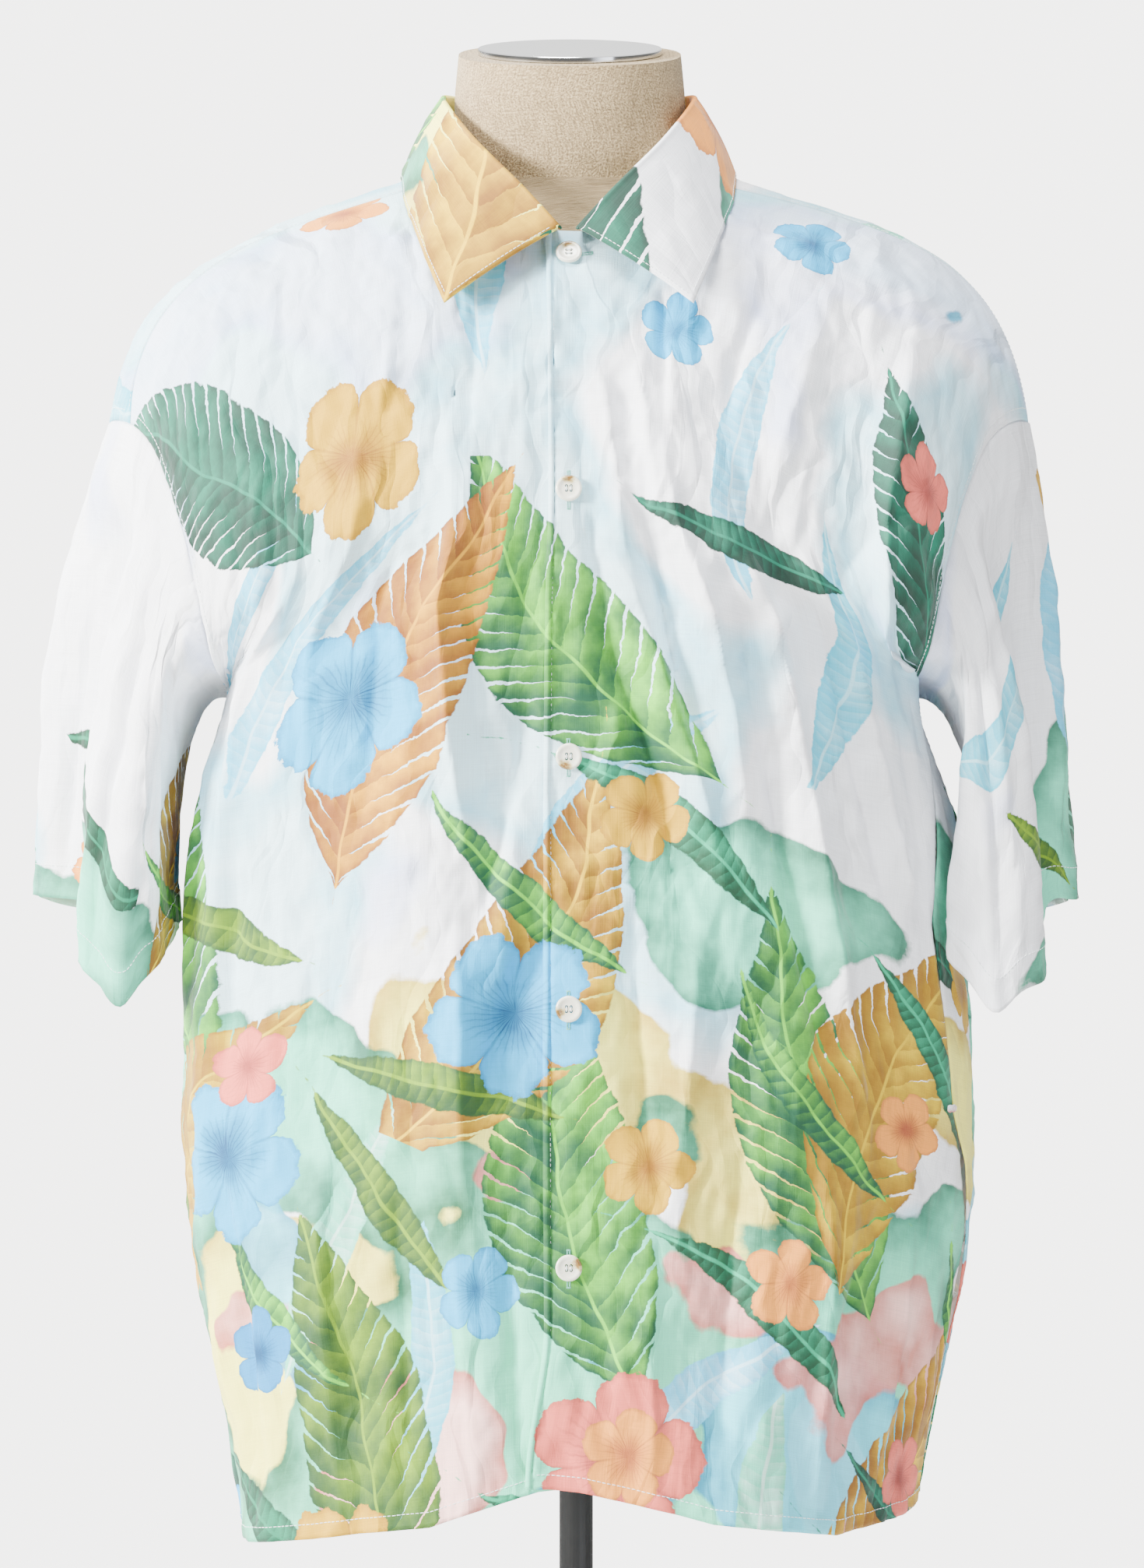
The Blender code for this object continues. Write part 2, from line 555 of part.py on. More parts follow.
def clear_scene():
    for item in list(bpy.data.objects):
        bpy.data.objects.remove(item, do_unlink=True)
    for mesh in list(bpy.data.meshes):
        bpy.data.meshes.remove(mesh)


def collection(name, hidden=False):
    made = bpy.data.collections.new(name)
    bpy.context.scene.collection.children.link(made)
    made.hide_render = hidden
    return made


def material(name, colour, roughness, metallic=0.0):
    made = bpy.data.materials.new(name)
    made.use_nodes = True
    shader = made.node_tree.nodes["Principled BSDF"]
    shader.inputs["Base Color"].default_value = (*colour, 1.0)
    shader.inputs["Roughness"].default_value = roughness
    shader.inputs["Metallic"].default_value = metallic
    return made


def add_object(name, mesh, finish, home):
    made = bpy.data.objects.new(name, mesh)
    mesh.materials.append(finish)
    home.objects.link(made)
    return made


def lofted_mesh(name, grid, closed_across=False, caps=False):
    """Quads between neighbouring rows of a grid of points."""
    built = bmesh.new()
    rows = [[built.verts.new(point) for point in row] for row in grid]
    count = len(rows[0])
    last = count if closed_across else count - 1
    for lower, upper in zip(rows[:-1], rows[1:]):
        for i in range(last):
            k = (i + 1) % count
            built.faces.new((lower[i], lower[k], upper[k], upper[i]))
    if caps:
        built.faces.new(rows[0])
        built.faces.new(rows[-1])
    bmesh.ops.recalc_face_normals(built, faces=built.faces)
    mesh = bpy.data.meshes.new(name)
    built.to_mesh(mesh)
    built.free()
    mesh.shade_smooth()
    return mesh


def add_cloth(name, grid, finish, home, closed_across=False):
    """A sheet of cloth through the grid, given its wall by Solidify."""
    made = add_object(name, lofted_mesh(name, grid, closed_across), finish, home)
    wall = made.modifiers.new("wall", "SOLIDIFY")
    wall.thickness = CLOTH
    wall.offset = 0.0
    wall.use_even_offset = True
    made.location = (GARMENT_X, 0.0, HEM_Z)
    return made


def add_turned(name, profile, steps, finish, home):
    """A solid turned round Z from a profile of (radius, height), top to bottom, with its ends on Z."""
    mesh = bpy.data.meshes.new(name)
    edges = [(i, i + 1) for i in range(len(profile) - 1)]
    mesh.from_pydata([(radius, 0.0, z) for radius, z in profile], edges, [])
    made = add_object(name, mesh, finish, home)
    turn = made.modifiers.new("turn", "SCREW")
    turn.steps = steps
    turn.render_steps = steps
    turn.use_merge_vertices = True
    turn.merge_threshold = 0.00002
    turn.use_smooth_shade = True
    return made


# The pieces.


def add_fronts(finish, home):
    add_cloth("front_left", front_grid(LEFT_HALF, LAYER), finish, home)
    add_cloth("front_right", front_grid(RIGHT_HALF, -LAYER), finish, home)


def add_back(finish, home):
    left = back_half(LEFT_HALF)
    right = back_half(RIGHT_HALF)
    whole = np.concatenate([right[:, :0:-1], left], axis=1)
    add_cloth("back", whole, finish, home)


def add_sleeve(name, side, finish, home):
    add_cloth(name, sleeve_grid(side, SLEEVE_ROWS), finish, home, closed_across=True)


def add_button(name, drop, finish, home, cutters):
    """A four-hole button on the left front, its back against the cloth."""
    half = BUTTON_THICK / 2
    profile = [(reach * BUTTON_RADIUS, height * half) for reach, height in BUTTON_PROFILE]
    made = add_turned(name, profile, BUTTON_STEPS, finish, home)
    for k in range(4):
        angle = math.pi / 4 + k * math.pi / 2
        bpy.ops.mesh.primitive_cylinder_add(
            vertices=HOLE_STEPS, radius=BUTTON_HOLE_RADIUS, depth=BUTTON_THICK * 3
        )
        hole = bpy.context.object
        hole.name = f"{name}_hole_{k + 1}"
        for owner in list(hole.users_collection):
            owner.objects.unlink(hole)
        cutters.objects.link(hole)
        hole.parent = made
        hole.location = (BUTTON_HOLE_REACH * math.cos(angle), BUTTON_HOLE_REACH * math.sin(angle), 0.0)
        hole.hide_render = True
        hole.display_type = "WIRE"
        cut = made.modifiers.new(f"hole_{k + 1}", "BOOLEAN")
        cut.operation = "DIFFERENCE"
        cut.solver = "EXACT"
        cut.object = hole
    seat = cloth_point(LEFT_HALF, drop, 0.0, LAYER)
    facing = outward(LEFT_HALF, drop, np.array(0.0))
    clear = CLOTH / 2 + SEAM_GAP + half
    place = seat + facing * clear
    made.location = (place[0] + GARMENT_X, place[1], place[2] + HEM_Z)
    made.rotation_euler = (math.atan2(-facing[1], facing[2]), 0.0, 0.0)


def add_vent_tack(name, side, finish, home):
    """The small folded tack that holds the side seam at the top of its vent."""
    span = side_seam_span(side, VENT_TOP) - TACK_INSET
    seat = cloth_point(side, VENT_TOP, span)
    facing = outward(side, np.array(VENT_TOP), np.array(min(span, TACK_FACING_SPAN)))
    made_at = seat + facing * (CLOTH / 2 + SEAM_GAP + TACK_THICK / 2)
    bpy.ops.mesh.primitive_cube_add(size=1.0)
    made = bpy.context.object
    made.name = name
    for owner in list(made.users_collection):
        owner.objects.unlink(made)
    home.objects.link(made)
    made.data.materials.append(finish)
    for vertex in made.data.vertices:
        vertex.co.x *= TACK_LENGTH
        vertex.co.y *= TACK_THICK
        vertex.co.z *= TACK_HEIGHT
    edge = made.modifiers.new("edge", "BEVEL")
    edge.width = TACK_BEVEL
    edge.segments = 2
    made.location = (made_at[0] + GARMENT_X, made_at[1], made_at[2] + HEM_Z)
    made.rotation_euler = (0.0, 0.0, math.atan2(facing[0], -facing[1]))


def neck_lean(points):
    """Tips the top of the neck forward, so that its front lip is the lower one."""
    weight = smooth_step(NECK_TILT_FROM, TORSO_RINGS[-1].z, points[:, 2])
    leaned = points.copy()
    leaned[:, 2] += math.tan(NECK_TILT) * points[:, 1] * weight
    return leaned


def add_torso(finish, home):
    turn = 2 * math.pi * np.arange(TORSO_TURNS) / TORSO_TURNS
    grid = []
    for ring in TORSO_RINGS:
        power = 2.0 / ring.square
        x = ring.half_x * np.sign(np.cos(turn)) * np.abs(np.cos(turn)) ** power
        depth = np.where(np.sin(turn) < 0, ring.front_y, ring.back_y)
        y = depth * np.sign(np.sin(turn)) * np.abs(np.sin(turn)) ** power
        points = np.stack([x + TORSO_X, y, np.full_like(x, ring.z)], -1)
        grid.append(neck_lean(points))
    made = add_object("form_torso", lofted_mesh("form_torso", grid, True, True), finish, home)
    made.location = (0.0, 0.0, HEM_Z)


def add_cap(finish, home):
    half = CAP_THICK / 2
    profile = [
        (0.0, half),
        (CAP_RADIUS - CAP_TOP_BEVEL[0], half),
        (CAP_RADIUS - CAP_RIM_BEVEL[0], half - CAP_TOP_BEVEL[1]),
        (CAP_RADIUS, half - CAP_RIM_BEVEL[1]),
        (CAP_RADIUS, -half + CAP_FOOT_BEVEL),
        (CAP_RADIUS - CAP_FOOT_BEVEL, -half),
        (0.0, -half),
    ]
    made = add_turned("neck_cap", profile, ROUND_STEPS, finish, home)
    lift = half + SEAM_GAP
    top = HEM_Z + TORSO_RINGS[-1].z
    made.location = (TORSO_X, -math.sin(NECK_TILT) * lift, top + math.cos(NECK_TILT) * lift)
    made.rotation_euler = (NECK_TILT, 0.0, 0.0)


def add_stand(finish, home):
    foot = BASE_THICK + HUB_HEIGHT
    hub = [
        (0.0, foot),
        (HUB_RADIUS - HUB_BEVEL, foot),
        (HUB_RADIUS, foot - HUB_BEVEL),
        (HUB_RADIUS, BASE_THICK + HUB_BEVEL),
        (HUB_RADIUS + HUB_BEVEL, BASE_THICK),
        (BASE_RADIUS - BASE_BEVEL, BASE_THICK),
        (BASE_RADIUS, BASE_THICK - BASE_BEVEL),
        (BASE_RADIUS, BASE_FOOT_BEVEL),
        (BASE_RADIUS - BASE_FOOT_BEVEL, 0.0),
        (0.0, 0.0),
    ]
    add_turned("base", hub, ROUND_STEPS, finish, home)
    low = foot + SEAM_GAP
    high = HEM_Z + TORSO_RINGS[0].z - SEAM_GAP
    bpy.ops.mesh.primitive_cylinder_add(vertices=POLE_STEPS, radius=POLE_RADIUS, depth=high - low)
    pole = bpy.context.object
    pole.name = "pole"
    pole.location = (0.0, 0.0, (low + high) / 2)
    pole.data.shade_smooth()
    pole.data.set_sharp_from_angle(angle=POLE_SHARP_ANGLE)
    pole.data.materials.append(finish)
    for owner in list(pole.users_collection):
        owner.objects.unlink(pole)
    home.objects.link(pole)


def main():
    clear_scene()
    parts = collection("short_sleeve_shirt_on_form")
    cutters = collection("cutters", hidden=True)
    lawn = material("printed_lawn", (0.78, 0.86, 0.90), 0.75)
    shell = material("button_shell", (0.80, 0.74, 0.62), 0.30)
    linen = material("form_linen", (0.55, 0.47, 0.38), 0.90)
    steel = material("cap_steel", (0.60, 0.60, 0.61), 0.25, 1.0)
    black = material("stand_black", (0.012, 0.013, 0.015), 0.45)

    add_fronts(lawn, parts)
    add_back(lawn, parts)
    add_sleeve("sleeve_left", LEFT_HALF, lawn, parts)
    add_sleeve("sleeve_right", RIGHT_HALF, lawn, parts)
    add_cloth("collar", collar_grid(), lawn, parts)
    for number, drop in enumerate(BUTTON_DROPS, start=1):
        add_button(f"button_{number}", drop, shell, parts, cutters)
    add_vent_tack("vent_tack_left", LEFT_HALF, lawn, parts)
    add_vent_tack("vent_tack_right", RIGHT_HALF, lawn, parts)
    add_torso(linen, parts)
    add_cap(steel, parts)
    add_stand(black, parts)


main()
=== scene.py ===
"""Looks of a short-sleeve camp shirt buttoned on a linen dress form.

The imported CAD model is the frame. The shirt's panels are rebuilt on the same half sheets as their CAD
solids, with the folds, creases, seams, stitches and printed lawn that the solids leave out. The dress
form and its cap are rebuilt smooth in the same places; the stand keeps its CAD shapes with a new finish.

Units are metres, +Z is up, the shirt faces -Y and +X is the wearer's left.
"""

import json
import logging
import math
from collections.abc import Callable, Sequence
from dataclasses import dataclass, field, replace
from enum import Enum
from functools import partial

import bmesh
import bpy
import numpy as np
from mathutils import Matrix, Vector

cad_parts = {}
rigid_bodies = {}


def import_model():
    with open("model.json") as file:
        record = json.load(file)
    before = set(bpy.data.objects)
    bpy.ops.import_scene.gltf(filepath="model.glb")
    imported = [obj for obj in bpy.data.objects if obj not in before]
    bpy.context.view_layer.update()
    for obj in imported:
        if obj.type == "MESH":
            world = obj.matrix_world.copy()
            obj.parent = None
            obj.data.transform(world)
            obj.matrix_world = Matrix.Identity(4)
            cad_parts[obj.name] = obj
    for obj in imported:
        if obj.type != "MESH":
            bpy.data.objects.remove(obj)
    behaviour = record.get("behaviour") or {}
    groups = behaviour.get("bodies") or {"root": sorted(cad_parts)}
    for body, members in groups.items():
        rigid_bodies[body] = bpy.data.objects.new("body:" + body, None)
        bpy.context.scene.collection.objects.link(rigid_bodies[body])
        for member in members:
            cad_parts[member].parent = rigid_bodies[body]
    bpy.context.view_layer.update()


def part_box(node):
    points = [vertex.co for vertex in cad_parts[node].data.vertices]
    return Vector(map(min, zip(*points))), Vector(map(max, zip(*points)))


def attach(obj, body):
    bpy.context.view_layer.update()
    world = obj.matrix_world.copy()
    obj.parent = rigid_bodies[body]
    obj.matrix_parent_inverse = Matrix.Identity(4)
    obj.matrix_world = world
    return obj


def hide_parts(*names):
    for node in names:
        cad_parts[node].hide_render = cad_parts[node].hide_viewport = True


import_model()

LOG = logging.getLogger("shirt")

Array = np.ndarray
Rows = tuple[tuple[float, ...], ...]

# The shirt's own place: heights count from HEM_Z, and it stands a little to the wearer's right.
HEM_Z = 0.720
HOME = np.array([-0.004, 0.0, HEM_Z])

# The half sheets. A drop is the distance down from the shoulder ridge, a span the share of the way
# from the centre line to the side seam, which is PANEL_WIDTH of cloth.
PANEL_WIDTH = 0.290
SEAM_GAP = 0.0003
UNDERARM = 0.310
HEM = 0.777
CURVE_STEPS = 25
NORMAL_STEP = 0.004

# The front edge: how far the fronts lap, where the columns over the turned edge stand from it, and
# how the upper front lies off the lower.
OVERLAP = 0.0130
PLACKET_COLUMNS = (0.0, 0.0005, 0.0013, 0.0022, 0.0028, 0.0033, 0.0038, 0.0046, 0.0062, 0.0082, 0.0104)
LAYER = 0.0012
LAYER_FADE = (0.018, 0.045)
PLACKET_KICK = 0.0110
KICK_FROM = 0.690
KICK_REACH = 0.090

NECK_HALF = 0.0720
NECK_FRONT_DROP = 0.1020
NECK_BACK_DROP = 0.0560
NECK_CORNER = 1.05
NECK_FINER = 1.25

VENT_TOP = 0.550
VENT_LIFT = (0.0012, -0.0022)
VENT_FADE = 0.03
VENT_REACH = 0.16
SEAM_SHIFT_DROPS = (0.310, 0.345, 0.450, 0.550, 0.620, 0.777)
SHOULDER_SPANS = (0.25, 0.60, 0.78, 1.00)
HEM_SPANS = (0.00, 0.06, 0.28, 0.55, 0.80, 1.00)
WIDEN_WAIST = (0.27, 0.42)
WIDEN_HEM = (0.60, 0.777)
LIFT_FADE = (0.03, 0.14)

# How the CAD's folds fade: along them at both ends, and towards the centre line and the side.
FOLD_ENDS = ((0.0, 0.35), (1.0, 1.25))
FOLD_SIDES = ((0.0, 0.10), (0.88, 1.0))

# How a panel's unevenness fades towards its seams: creases at the side and the top, then the facets.
SIDE_FADE = (0.002, 0.026)
TOP_FADE = (0.004, 0.060)
FACET_SIDE_FADE = (0.0, 0.02)
FACET_TOP_FADE = (0.002, 0.045)
FACET_AT_SIDE = 0.35
FACET_AT_PIN = 0.25
SEAM_PUCKER = 0.8

# Where the back and the sleeves lie on the printed cloth, clear of each other.
BACK_PRINT = 1.5
SLEEVE_PRINT = (3.2, 0.4, -0.22)


# Colour and shape arithmetic.


def linear(colour: str, alpha: float = 1.0) -> tuple[float, float, float, float]:
    """Turns an sRGB hex colour into linear light.

    Args:
        colour: Six hex digits with a leading hash.
        alpha: The fourth number of the result.

    Returns:
        Linear red, green and blue, and alpha.
    """
    parts = [int(colour[i : i + 2], 16) / 255 for i in (1, 3, 5)]
    light = [p / 12.92 if p <= 0.04045 else ((p + 0.055) / 1.055) ** 2.4 for p in parts]
    return (light[0], light[1], light[2], alpha)


def table(text: str) -> Rows:
    """Reads rows of numbers in thousandths, which for a length are millimetres."""
    return tuple(tuple(float(part) / 1000 for part in line.split()) for line in text.strip().splitlines())


def smooth_step(low: float, high: float, value: Array | float) -> Array:
    """0 below low, 1 above high and an even S between them."""
    share = np.clip((np.asarray(value, float) - low) / (high - low), 0.0, 1.0)
    return share * share * (3.0 - 2.0 * share)


def spline(knots: Sequence[float], values: Array, at: Array | float) -> Array:
    """A natural cubic spline.

    Args:
        knots: Places along the line, rising.
        values: One row of values for each knot.
        at: Where the spline is wanted.

    Returns:
        One row of values for each place in at.
    """
    knots = np.asarray(knots, float)
    values = np.asarray(values, float).reshape(len(knots), -1)
    step = np.diff(knots)
    slope = np.diff(values, axis=0) / step[:, None]
    system = np.eye(len(knots))
    right = np.zeros_like(values)
    for i in range(1, len(knots) - 1):
        system[i, i - 1 : i + 2] = step[i - 1], 2 * (step[i - 1] + step[i]), step[i]
        right[i] = 6 * (slope[i] - slope[i - 1])
    bend = np.linalg.solve(system, right)
    at = np.asarray(at, float)
    cell = np.clip(np.searchsorted(knots, at) - 1, 0, len(step) - 1)
    h = step[cell][..., None]
    a = (knots[cell + 1] - at)[..., None] / h
    b = 1.0 - a
    cubic = ((a**3 - a) * bend[cell] + (b**3 - b) * bend[cell + 1]) * h * h / 6
    return a * values[cell] + b * values[cell + 1] + cubic


def ring_spline(knots: Sequence[float], values: Array, at: Array) -> Array:
    """The same spline through values that repeat after a turn of 1.

    Args:
        knots: Places from 0 to below 1, rising.
        values: One row of values for each knot.
        at: Where the spline is wanted, in turns.

    Returns:
        One row of values for each place in at.
    """
    knots = np.asarray(knots, float)
    values = np.asarray(values, float)
    wide = np.concatenate([knots - 1, knots, knots + 1])
    return spline(wide, np.concatenate([values] * 3), np.mod(at, 1.0))


def unit(vectors: Array) -> Array:
    """The vectors, each made 1 long."""
    return vectors / np.maximum(np.linalg.norm(vectors, axis=-1, keepdims=True), 1e-12)


def bezier(t: Array, corners: Sequence[Array]) -> Array:
    """Points of a cubic Bezier curve."""
    start, first, second, end = corners
    return (1 - t) ** 3 * start + 3 * (1 - t) ** 2 * t * first + 3 * (1 - t) * t**2 * second + t**3 * end


class Noise:
    """Smooth seeded noise in space, for the small unevenness of hung cloth.

    GAIN brings its values to about -1 to 1.
    """

    GAIN = 1.6

    def __init__(self, seed: int) -> None:
        """Draws the lattice's slopes.

        Args:
            seed: The same seed gives the same noise.
        """
        draw = np.random.default_rng(seed)
        self.order = np.tile(draw.permutation(256), 3)
        self.slopes = unit(draw.normal(size=(256, 3)))

    def at(self, points: Array) -> Array:
        """Values from about -1 to 1.

        Args:
            points: Places, with x, y and z on the last axis, in lattice steps.

        Returns:
            One value for each place.
        """
        cell = np.floor(points).astype(int)
        inside = points - cell
        ease = inside**3 * (inside * (inside * 6 - 15) + 10)
        total = np.zeros(points.shape[:-1])
        for corner in np.ndindex(2, 2, 2):
            i, j, k = [(cell[..., axis] + corner[axis]) & 255 for axis in range(3)]
            slope = self.slopes[self.order[self.order[self.order[i] + j] + k]]
            reach = (slope * (inside - np.array(corner))).sum(axis=-1)
            weight = np.ones(points.shape[:-1])
            for axis in range(3):
                weight = weight * (ease[..., axis] if corner[axis] else 1 - ease[..., axis])
            total += weight * reach
        return total * self.GAIN

    def crumple(self, points: Array, size: float) -> Array:
        """Rounded facets that meet in fine creases.

        Args:
            points: Places in metres.
            size: How far apart the facets are.

        Returns:
            Heights from about -0.5 to 0.5.
        """
        broad, stirred, drawn_out, finer = 2.1, 0.55, 0.72, 1.27
        swirl = np.stack([self.at(points / (size * broad) + 17.0 * k) for k in range(3)], axis=-1)
        place = (points + swirl * size * stirred) / size * np.array([1.0, 1.0, drawn_out])
        return np.abs(self.at(place + 31.0)) - np.abs(self.at(place * finer + 57.0))


# The shirt's body: two half sheets that run over the shoulders.


# The cross lines of a half sheet, back hem to front hem: drop; middle y and z; how far the line pulls
# sideways and falls as it leaves; its control point x, y, z; its end x, y, z. All in mm.
ROW_TABLE = np.array(
    table(
        """
        -777 148 26 112 4 188 110 4 186 0 -1
        -690 147 120 118 0 200 110 90 197 0 86
        -610 144 203 124 0 211 110 175 208 0 163
        -530 141 286 126 0 213 108 250 211 0 240
        -450 137 366 124 0 208 108 332 206 0 318
        -360 133 456 120 0 201 110 420 198 0 402
        -310 131 506 118 0 193 112 468 185 0 448
        -260 128 556 116 0 184 126 512 196 76 468
        -210 124 606 118 0 190 126 548 207 96 505
        -150 114 662 126 2 208 112 604 220 88 548
        -95 92 708 138 12 226 84 662 235 66 587
        -45 54 744 152 38 234 44 694 248 38 601
        0 8 766 164 55 237 6 702 252 4 604
        45 -36 743 152 37 232 -36 694 243 -32 603
        95 -76 706 136 12 221 -76 658 224 -62 588
        150 -104 659 124 2 203 -104 602 207 -83 545
        210 -119 603 118 0 184 -122 545 197 -90 503
        260 -126 553 116 0 178 -124 508 189 -72 467
        310 -130 503 118 0 191 -114 466 185 0 448
        360 -132 453 120 0 198 -110 418 198 0 402
        450 -135 364 124 0 206 -106 330 206 0 318
        530 -138 284 126 0 211 -104 250 211 0 240
        610 -141 205 124 0 208 -104 175 208 0 163
        690 -143 126 118 2 197 -106 92 197 0 86
        777 -144 37 112 10 186 -108 4 186 0 -1
        """
    )
)


@dataclass(frozen=True)
class Side:
    """How one half of the body differs from the even shape.

    FOLDS are its largest, from the CAD: drop at the top and the foot, span at each, width and height.
    """

    sign: int
    widen: tuple[float, float]
    lift: float
    seam_shift: tuple[float, ...]
    shoulder: tuple[float, ...]
    front_sag: tuple[float, ...]
    back_sag: tuple[float, ...]
    swing: float
    folds: Rows


RIGHT_HALF = Side(
    sign=-1,
    widen=(-0.002, -0.009),
    lift=0.002,
    seam_shift=(0.0, 0.03, 0.05, 0.05, 0.03, 0.02),
    shoulder=(0.030, 0.034, 0.046, 0.062),
    front_sag=(0.0, 0.0, 0.011, 0.008, 0.003, 0.0),
    back_sag=(0.0, 0.0, 0.004, 0.002, -0.002, -0.004),
    swing=0.16,
    folds=table(
        """
        170 620 270 220 55 8.5
        260 780 500 460 60 -8.5
        340 780 760 720 60 10
        -200 -780 260 320 65 10
        -300 -780 660 620 60 -9
        """
    ),
)
LEFT_HALF = Side(
    sign=1,
    widen=(0.010, 0.001),
    lift=0.014,
    seam_shift=(0.0, -0.20, -0.27, -0.22, -0.12, -0.06),
    shoulder=(0.030, 0.026, 0.016, 0.004),
    front_sag=(0.0, 0.0, 0.009, 0.006, -0.008, -0.022),
    back_sag=(0.0, 0.0, -0.002, -0.006, -0.014, -0.020),
    swing=0.02,
    folds=table(
        """
        150 460 200 460 50 7.5
        200 660 400 620 55 -8
        480 780 440 380 60 9
        560 780 720 700 55 -8
        -180 -780 300 220 65 -9
        -260 -780 600 660 60 10
        """
    ),
)


class HalfSheet:
    """One half of the shirt's body as a surface named by drop and span."""

    def __init__(self, side: Side) -> None:
        """Keeps the side's differences."""
        self.side = side

    def row_at(self, drop: Array) -> Array:
        """The row table at these drops, widened for this side.

        Args:
            drop: Distances down from the shoulder ridge, positive in front.

        Returns:
            The table's columns after the first, on the last axis.
        """
        columns = spline(ROW_TABLE[:, 0], ROW_TABLE[:, 1:], drop)
        mirrored = spline(ROW_TABLE[:, 0], ROW_TABLE[:, 1:], -drop)
        below = (np.abs(drop) > UNDERARM)[..., None]
        ends = (columns[..., 7:10] + mirrored[..., 7:10]) / 2
        columns[..., 7:10] = np.where(below, ends, columns[..., 7:10])
        waist, hem = self.side.widen
        gain = waist * smooth_step(*WIDEN_WAIST, np.abs(drop))
        gain += (hem - waist) * smooth_step(*WIDEN_HEM, np.abs(drop))
        columns[..., 4] += gain
        columns[..., 7] += gain
        columns[..., 6] += self.side.lift * (1 - smooth_step(*LIFT_FADE, np.abs(drop)))
        return columns

    def on_row(self, drop: Array | float, span: Array | float) -> Array:
        """Points of the sheet; past a span of 1 it goes on round the side.

        Args:
            drop: Distances down from the shoulder ridge, positive in front.
            span: Shares of the way from the centre line to the side.

        Returns:
            Points, with x, y and z on the last axis.
        """
        drop, span = np.broadcast_arrays(np.asarray(drop, float), np.asarray(span, float))
        past = span > 1.0
        drop = np.where(past, -drop, drop)
        span = np.where(past, 2.0 - span, span)
        row = np.moveaxis(self.row_at(drop), -1, 0)
        mid_y, mid_z, pull, fall, ctrl_x, ctrl_y, ctrl_z, end_x, end_y, end_z = row
        zero = np.zeros_like(mid_y)
        leaving = ((zero, mid_y, mid_z), (pull, mid_y, mid_z - fall))
        arriving = ((ctrl_x, ctrl_y, ctrl_z), (end_x, end_y, end_z))
        corners = [np.stack(corner, -1) for corner in leaving + arriving]
        curve = np.linspace(0.0, 1.0, CURVE_STEPS)
        line = bezier(curve.reshape((-1,) + (1,) * (drop.ndim + 1)), corners)
        steps = np.linalg.norm(np.diff(line, axis=0), axis=-1)
        reach = np.concatenate([zero[None], np.cumsum(steps, axis=0)])
        length = reach[-1]
        wanted = np.clip(span, 0.0, 1.0) * length
        cell = np.clip((reach <= wanted[None]).sum(axis=0) - 1, 0, len(reach) - 2)
        low = np.take_along_axis(reach, cell[None], 0)[0]
        high = np.take_along_axis(reach, cell[None] + 1, 0)[0]
        share = (wanted - low) / np.maximum(high - low, 1e-9)
        points = bezier((curve[cell] + share * (curve[1] - curve[0]))[..., None], corners)
        points[..., 0] += np.minimum(span, 0.0) * length
        points[..., 0] *= self.side.sign
        return points

    def outward(self, drop: Array | float, span: Array | float) -> Array:
        """Unit normals, away from the wearer.

        Args:
            drop: Distances down from the shoulder ridge.
            span: Shares of the way to the side.

        Returns:
            One normal for each place.
        """
        drop, span = np.broadcast_arrays(np.asarray(drop, float), np.asarray(span, float))
        step = NORMAL_STEP
        last = np.where(np.abs(drop) < UNDERARM + 2 * step, 1.0 - step, 2.0)
        middle = np.minimum(span, last)
        along = self.on_row(drop, middle + step) - self.on_row(drop, middle - step)
        turned = np.where(middle > 1.0, -1.0, 1.0)
        facing = self.on_row(drop + step * turned, middle) - self.on_row(drop - step * turned, middle)
        return unit(np.cross(along, facing)) * -self.side.sign

    def fold_height(self, drop: Array, span: Array) -> Array:
        """How far the CAD's largest folds move the cloth out.

        Args:
            drop: Distances down from the shoulder ridge, positive in front.
            span: Shares of the way to the side.

        Returns:
            Heights above the even sheet.
        """
        height = np.zeros(np.broadcast(drop, span).shape)
        past = span > 1.0
        drop = np.where(past, -drop, drop)
        span = np.where(past, 2.0 - span, span)
        for top, foot, span_top, span_foot, width, tall in self.side.folds:
            along = (drop - top) / (foot - top)
            crest = span_top + (span_foot - span_top) * along
            across = (span - crest) * PANEL_WIDTH / (width / 2)
            fade = smooth_step(*FOLD_ENDS[0], along) * (1 - smooth_step(*FOLD_ENDS[1], along))
            height += tall * fade * np.exp(-(across**2))
        return height * smooth_step(*FOLD_SIDES[0], span) * (1 - smooth_step(*FOLD_SIDES[1], span))

    def shoulder_drop(self, span: Array) -> Array:
        """How far in front of the ridge the shoulder seam lies."""
        return np.interp(span, SHOULDER_SPANS, self.side.shoulder)

    def front_top(self, span: Array) -> Array:
        """The upper edge of a front: the neckline, then the shoulder seam."""
        neck = neckline_drop(np.abs(span) * PANEL_WIDTH, NECK_FRONT_DROP)
        return np.maximum(neck, self.shoulder_drop(span) + SEAM_GAP)

    def back_top(self, span: Array) -> Array:
        """The upper edge of the back: the neckline, then the shoulder seam.

        Args:
            span: Shares of the way to the side.

        Returns:
            Drops, positive in front of the ridge.
        """
        metres = np.abs(span) * PANEL_WIDTH
        past_neck = np.clip((metres / NECK_HALF - 1) / (NECK_CORNER - 1), 0.0, 1.0)
        seam = (self.shoulder_drop(span) - SEAM_GAP) * past_neck
        return np.where(metres < NECK_HALF, -neckline_drop(metres, NECK_BACK_DROP), seam)


def neckline_drop(span_metres: Array, depth: float) -> Array:
    """The neckline's curve over the distance from the centre line."""
    share = np.clip(1 - (span_metres / NECK_HALF) ** 2, 0.0, 1.0)
    return depth * np.sqrt(share)


def hem_sag(sag: Sequence[float], drop: Array, span: Array) -> Array:
    """How much further down these points lie, so that the hem has its wave."""
    return smooth_step(VENT_TOP, HEM, drop) * np.interp(np.abs(span), HEM_SPANS, sag)


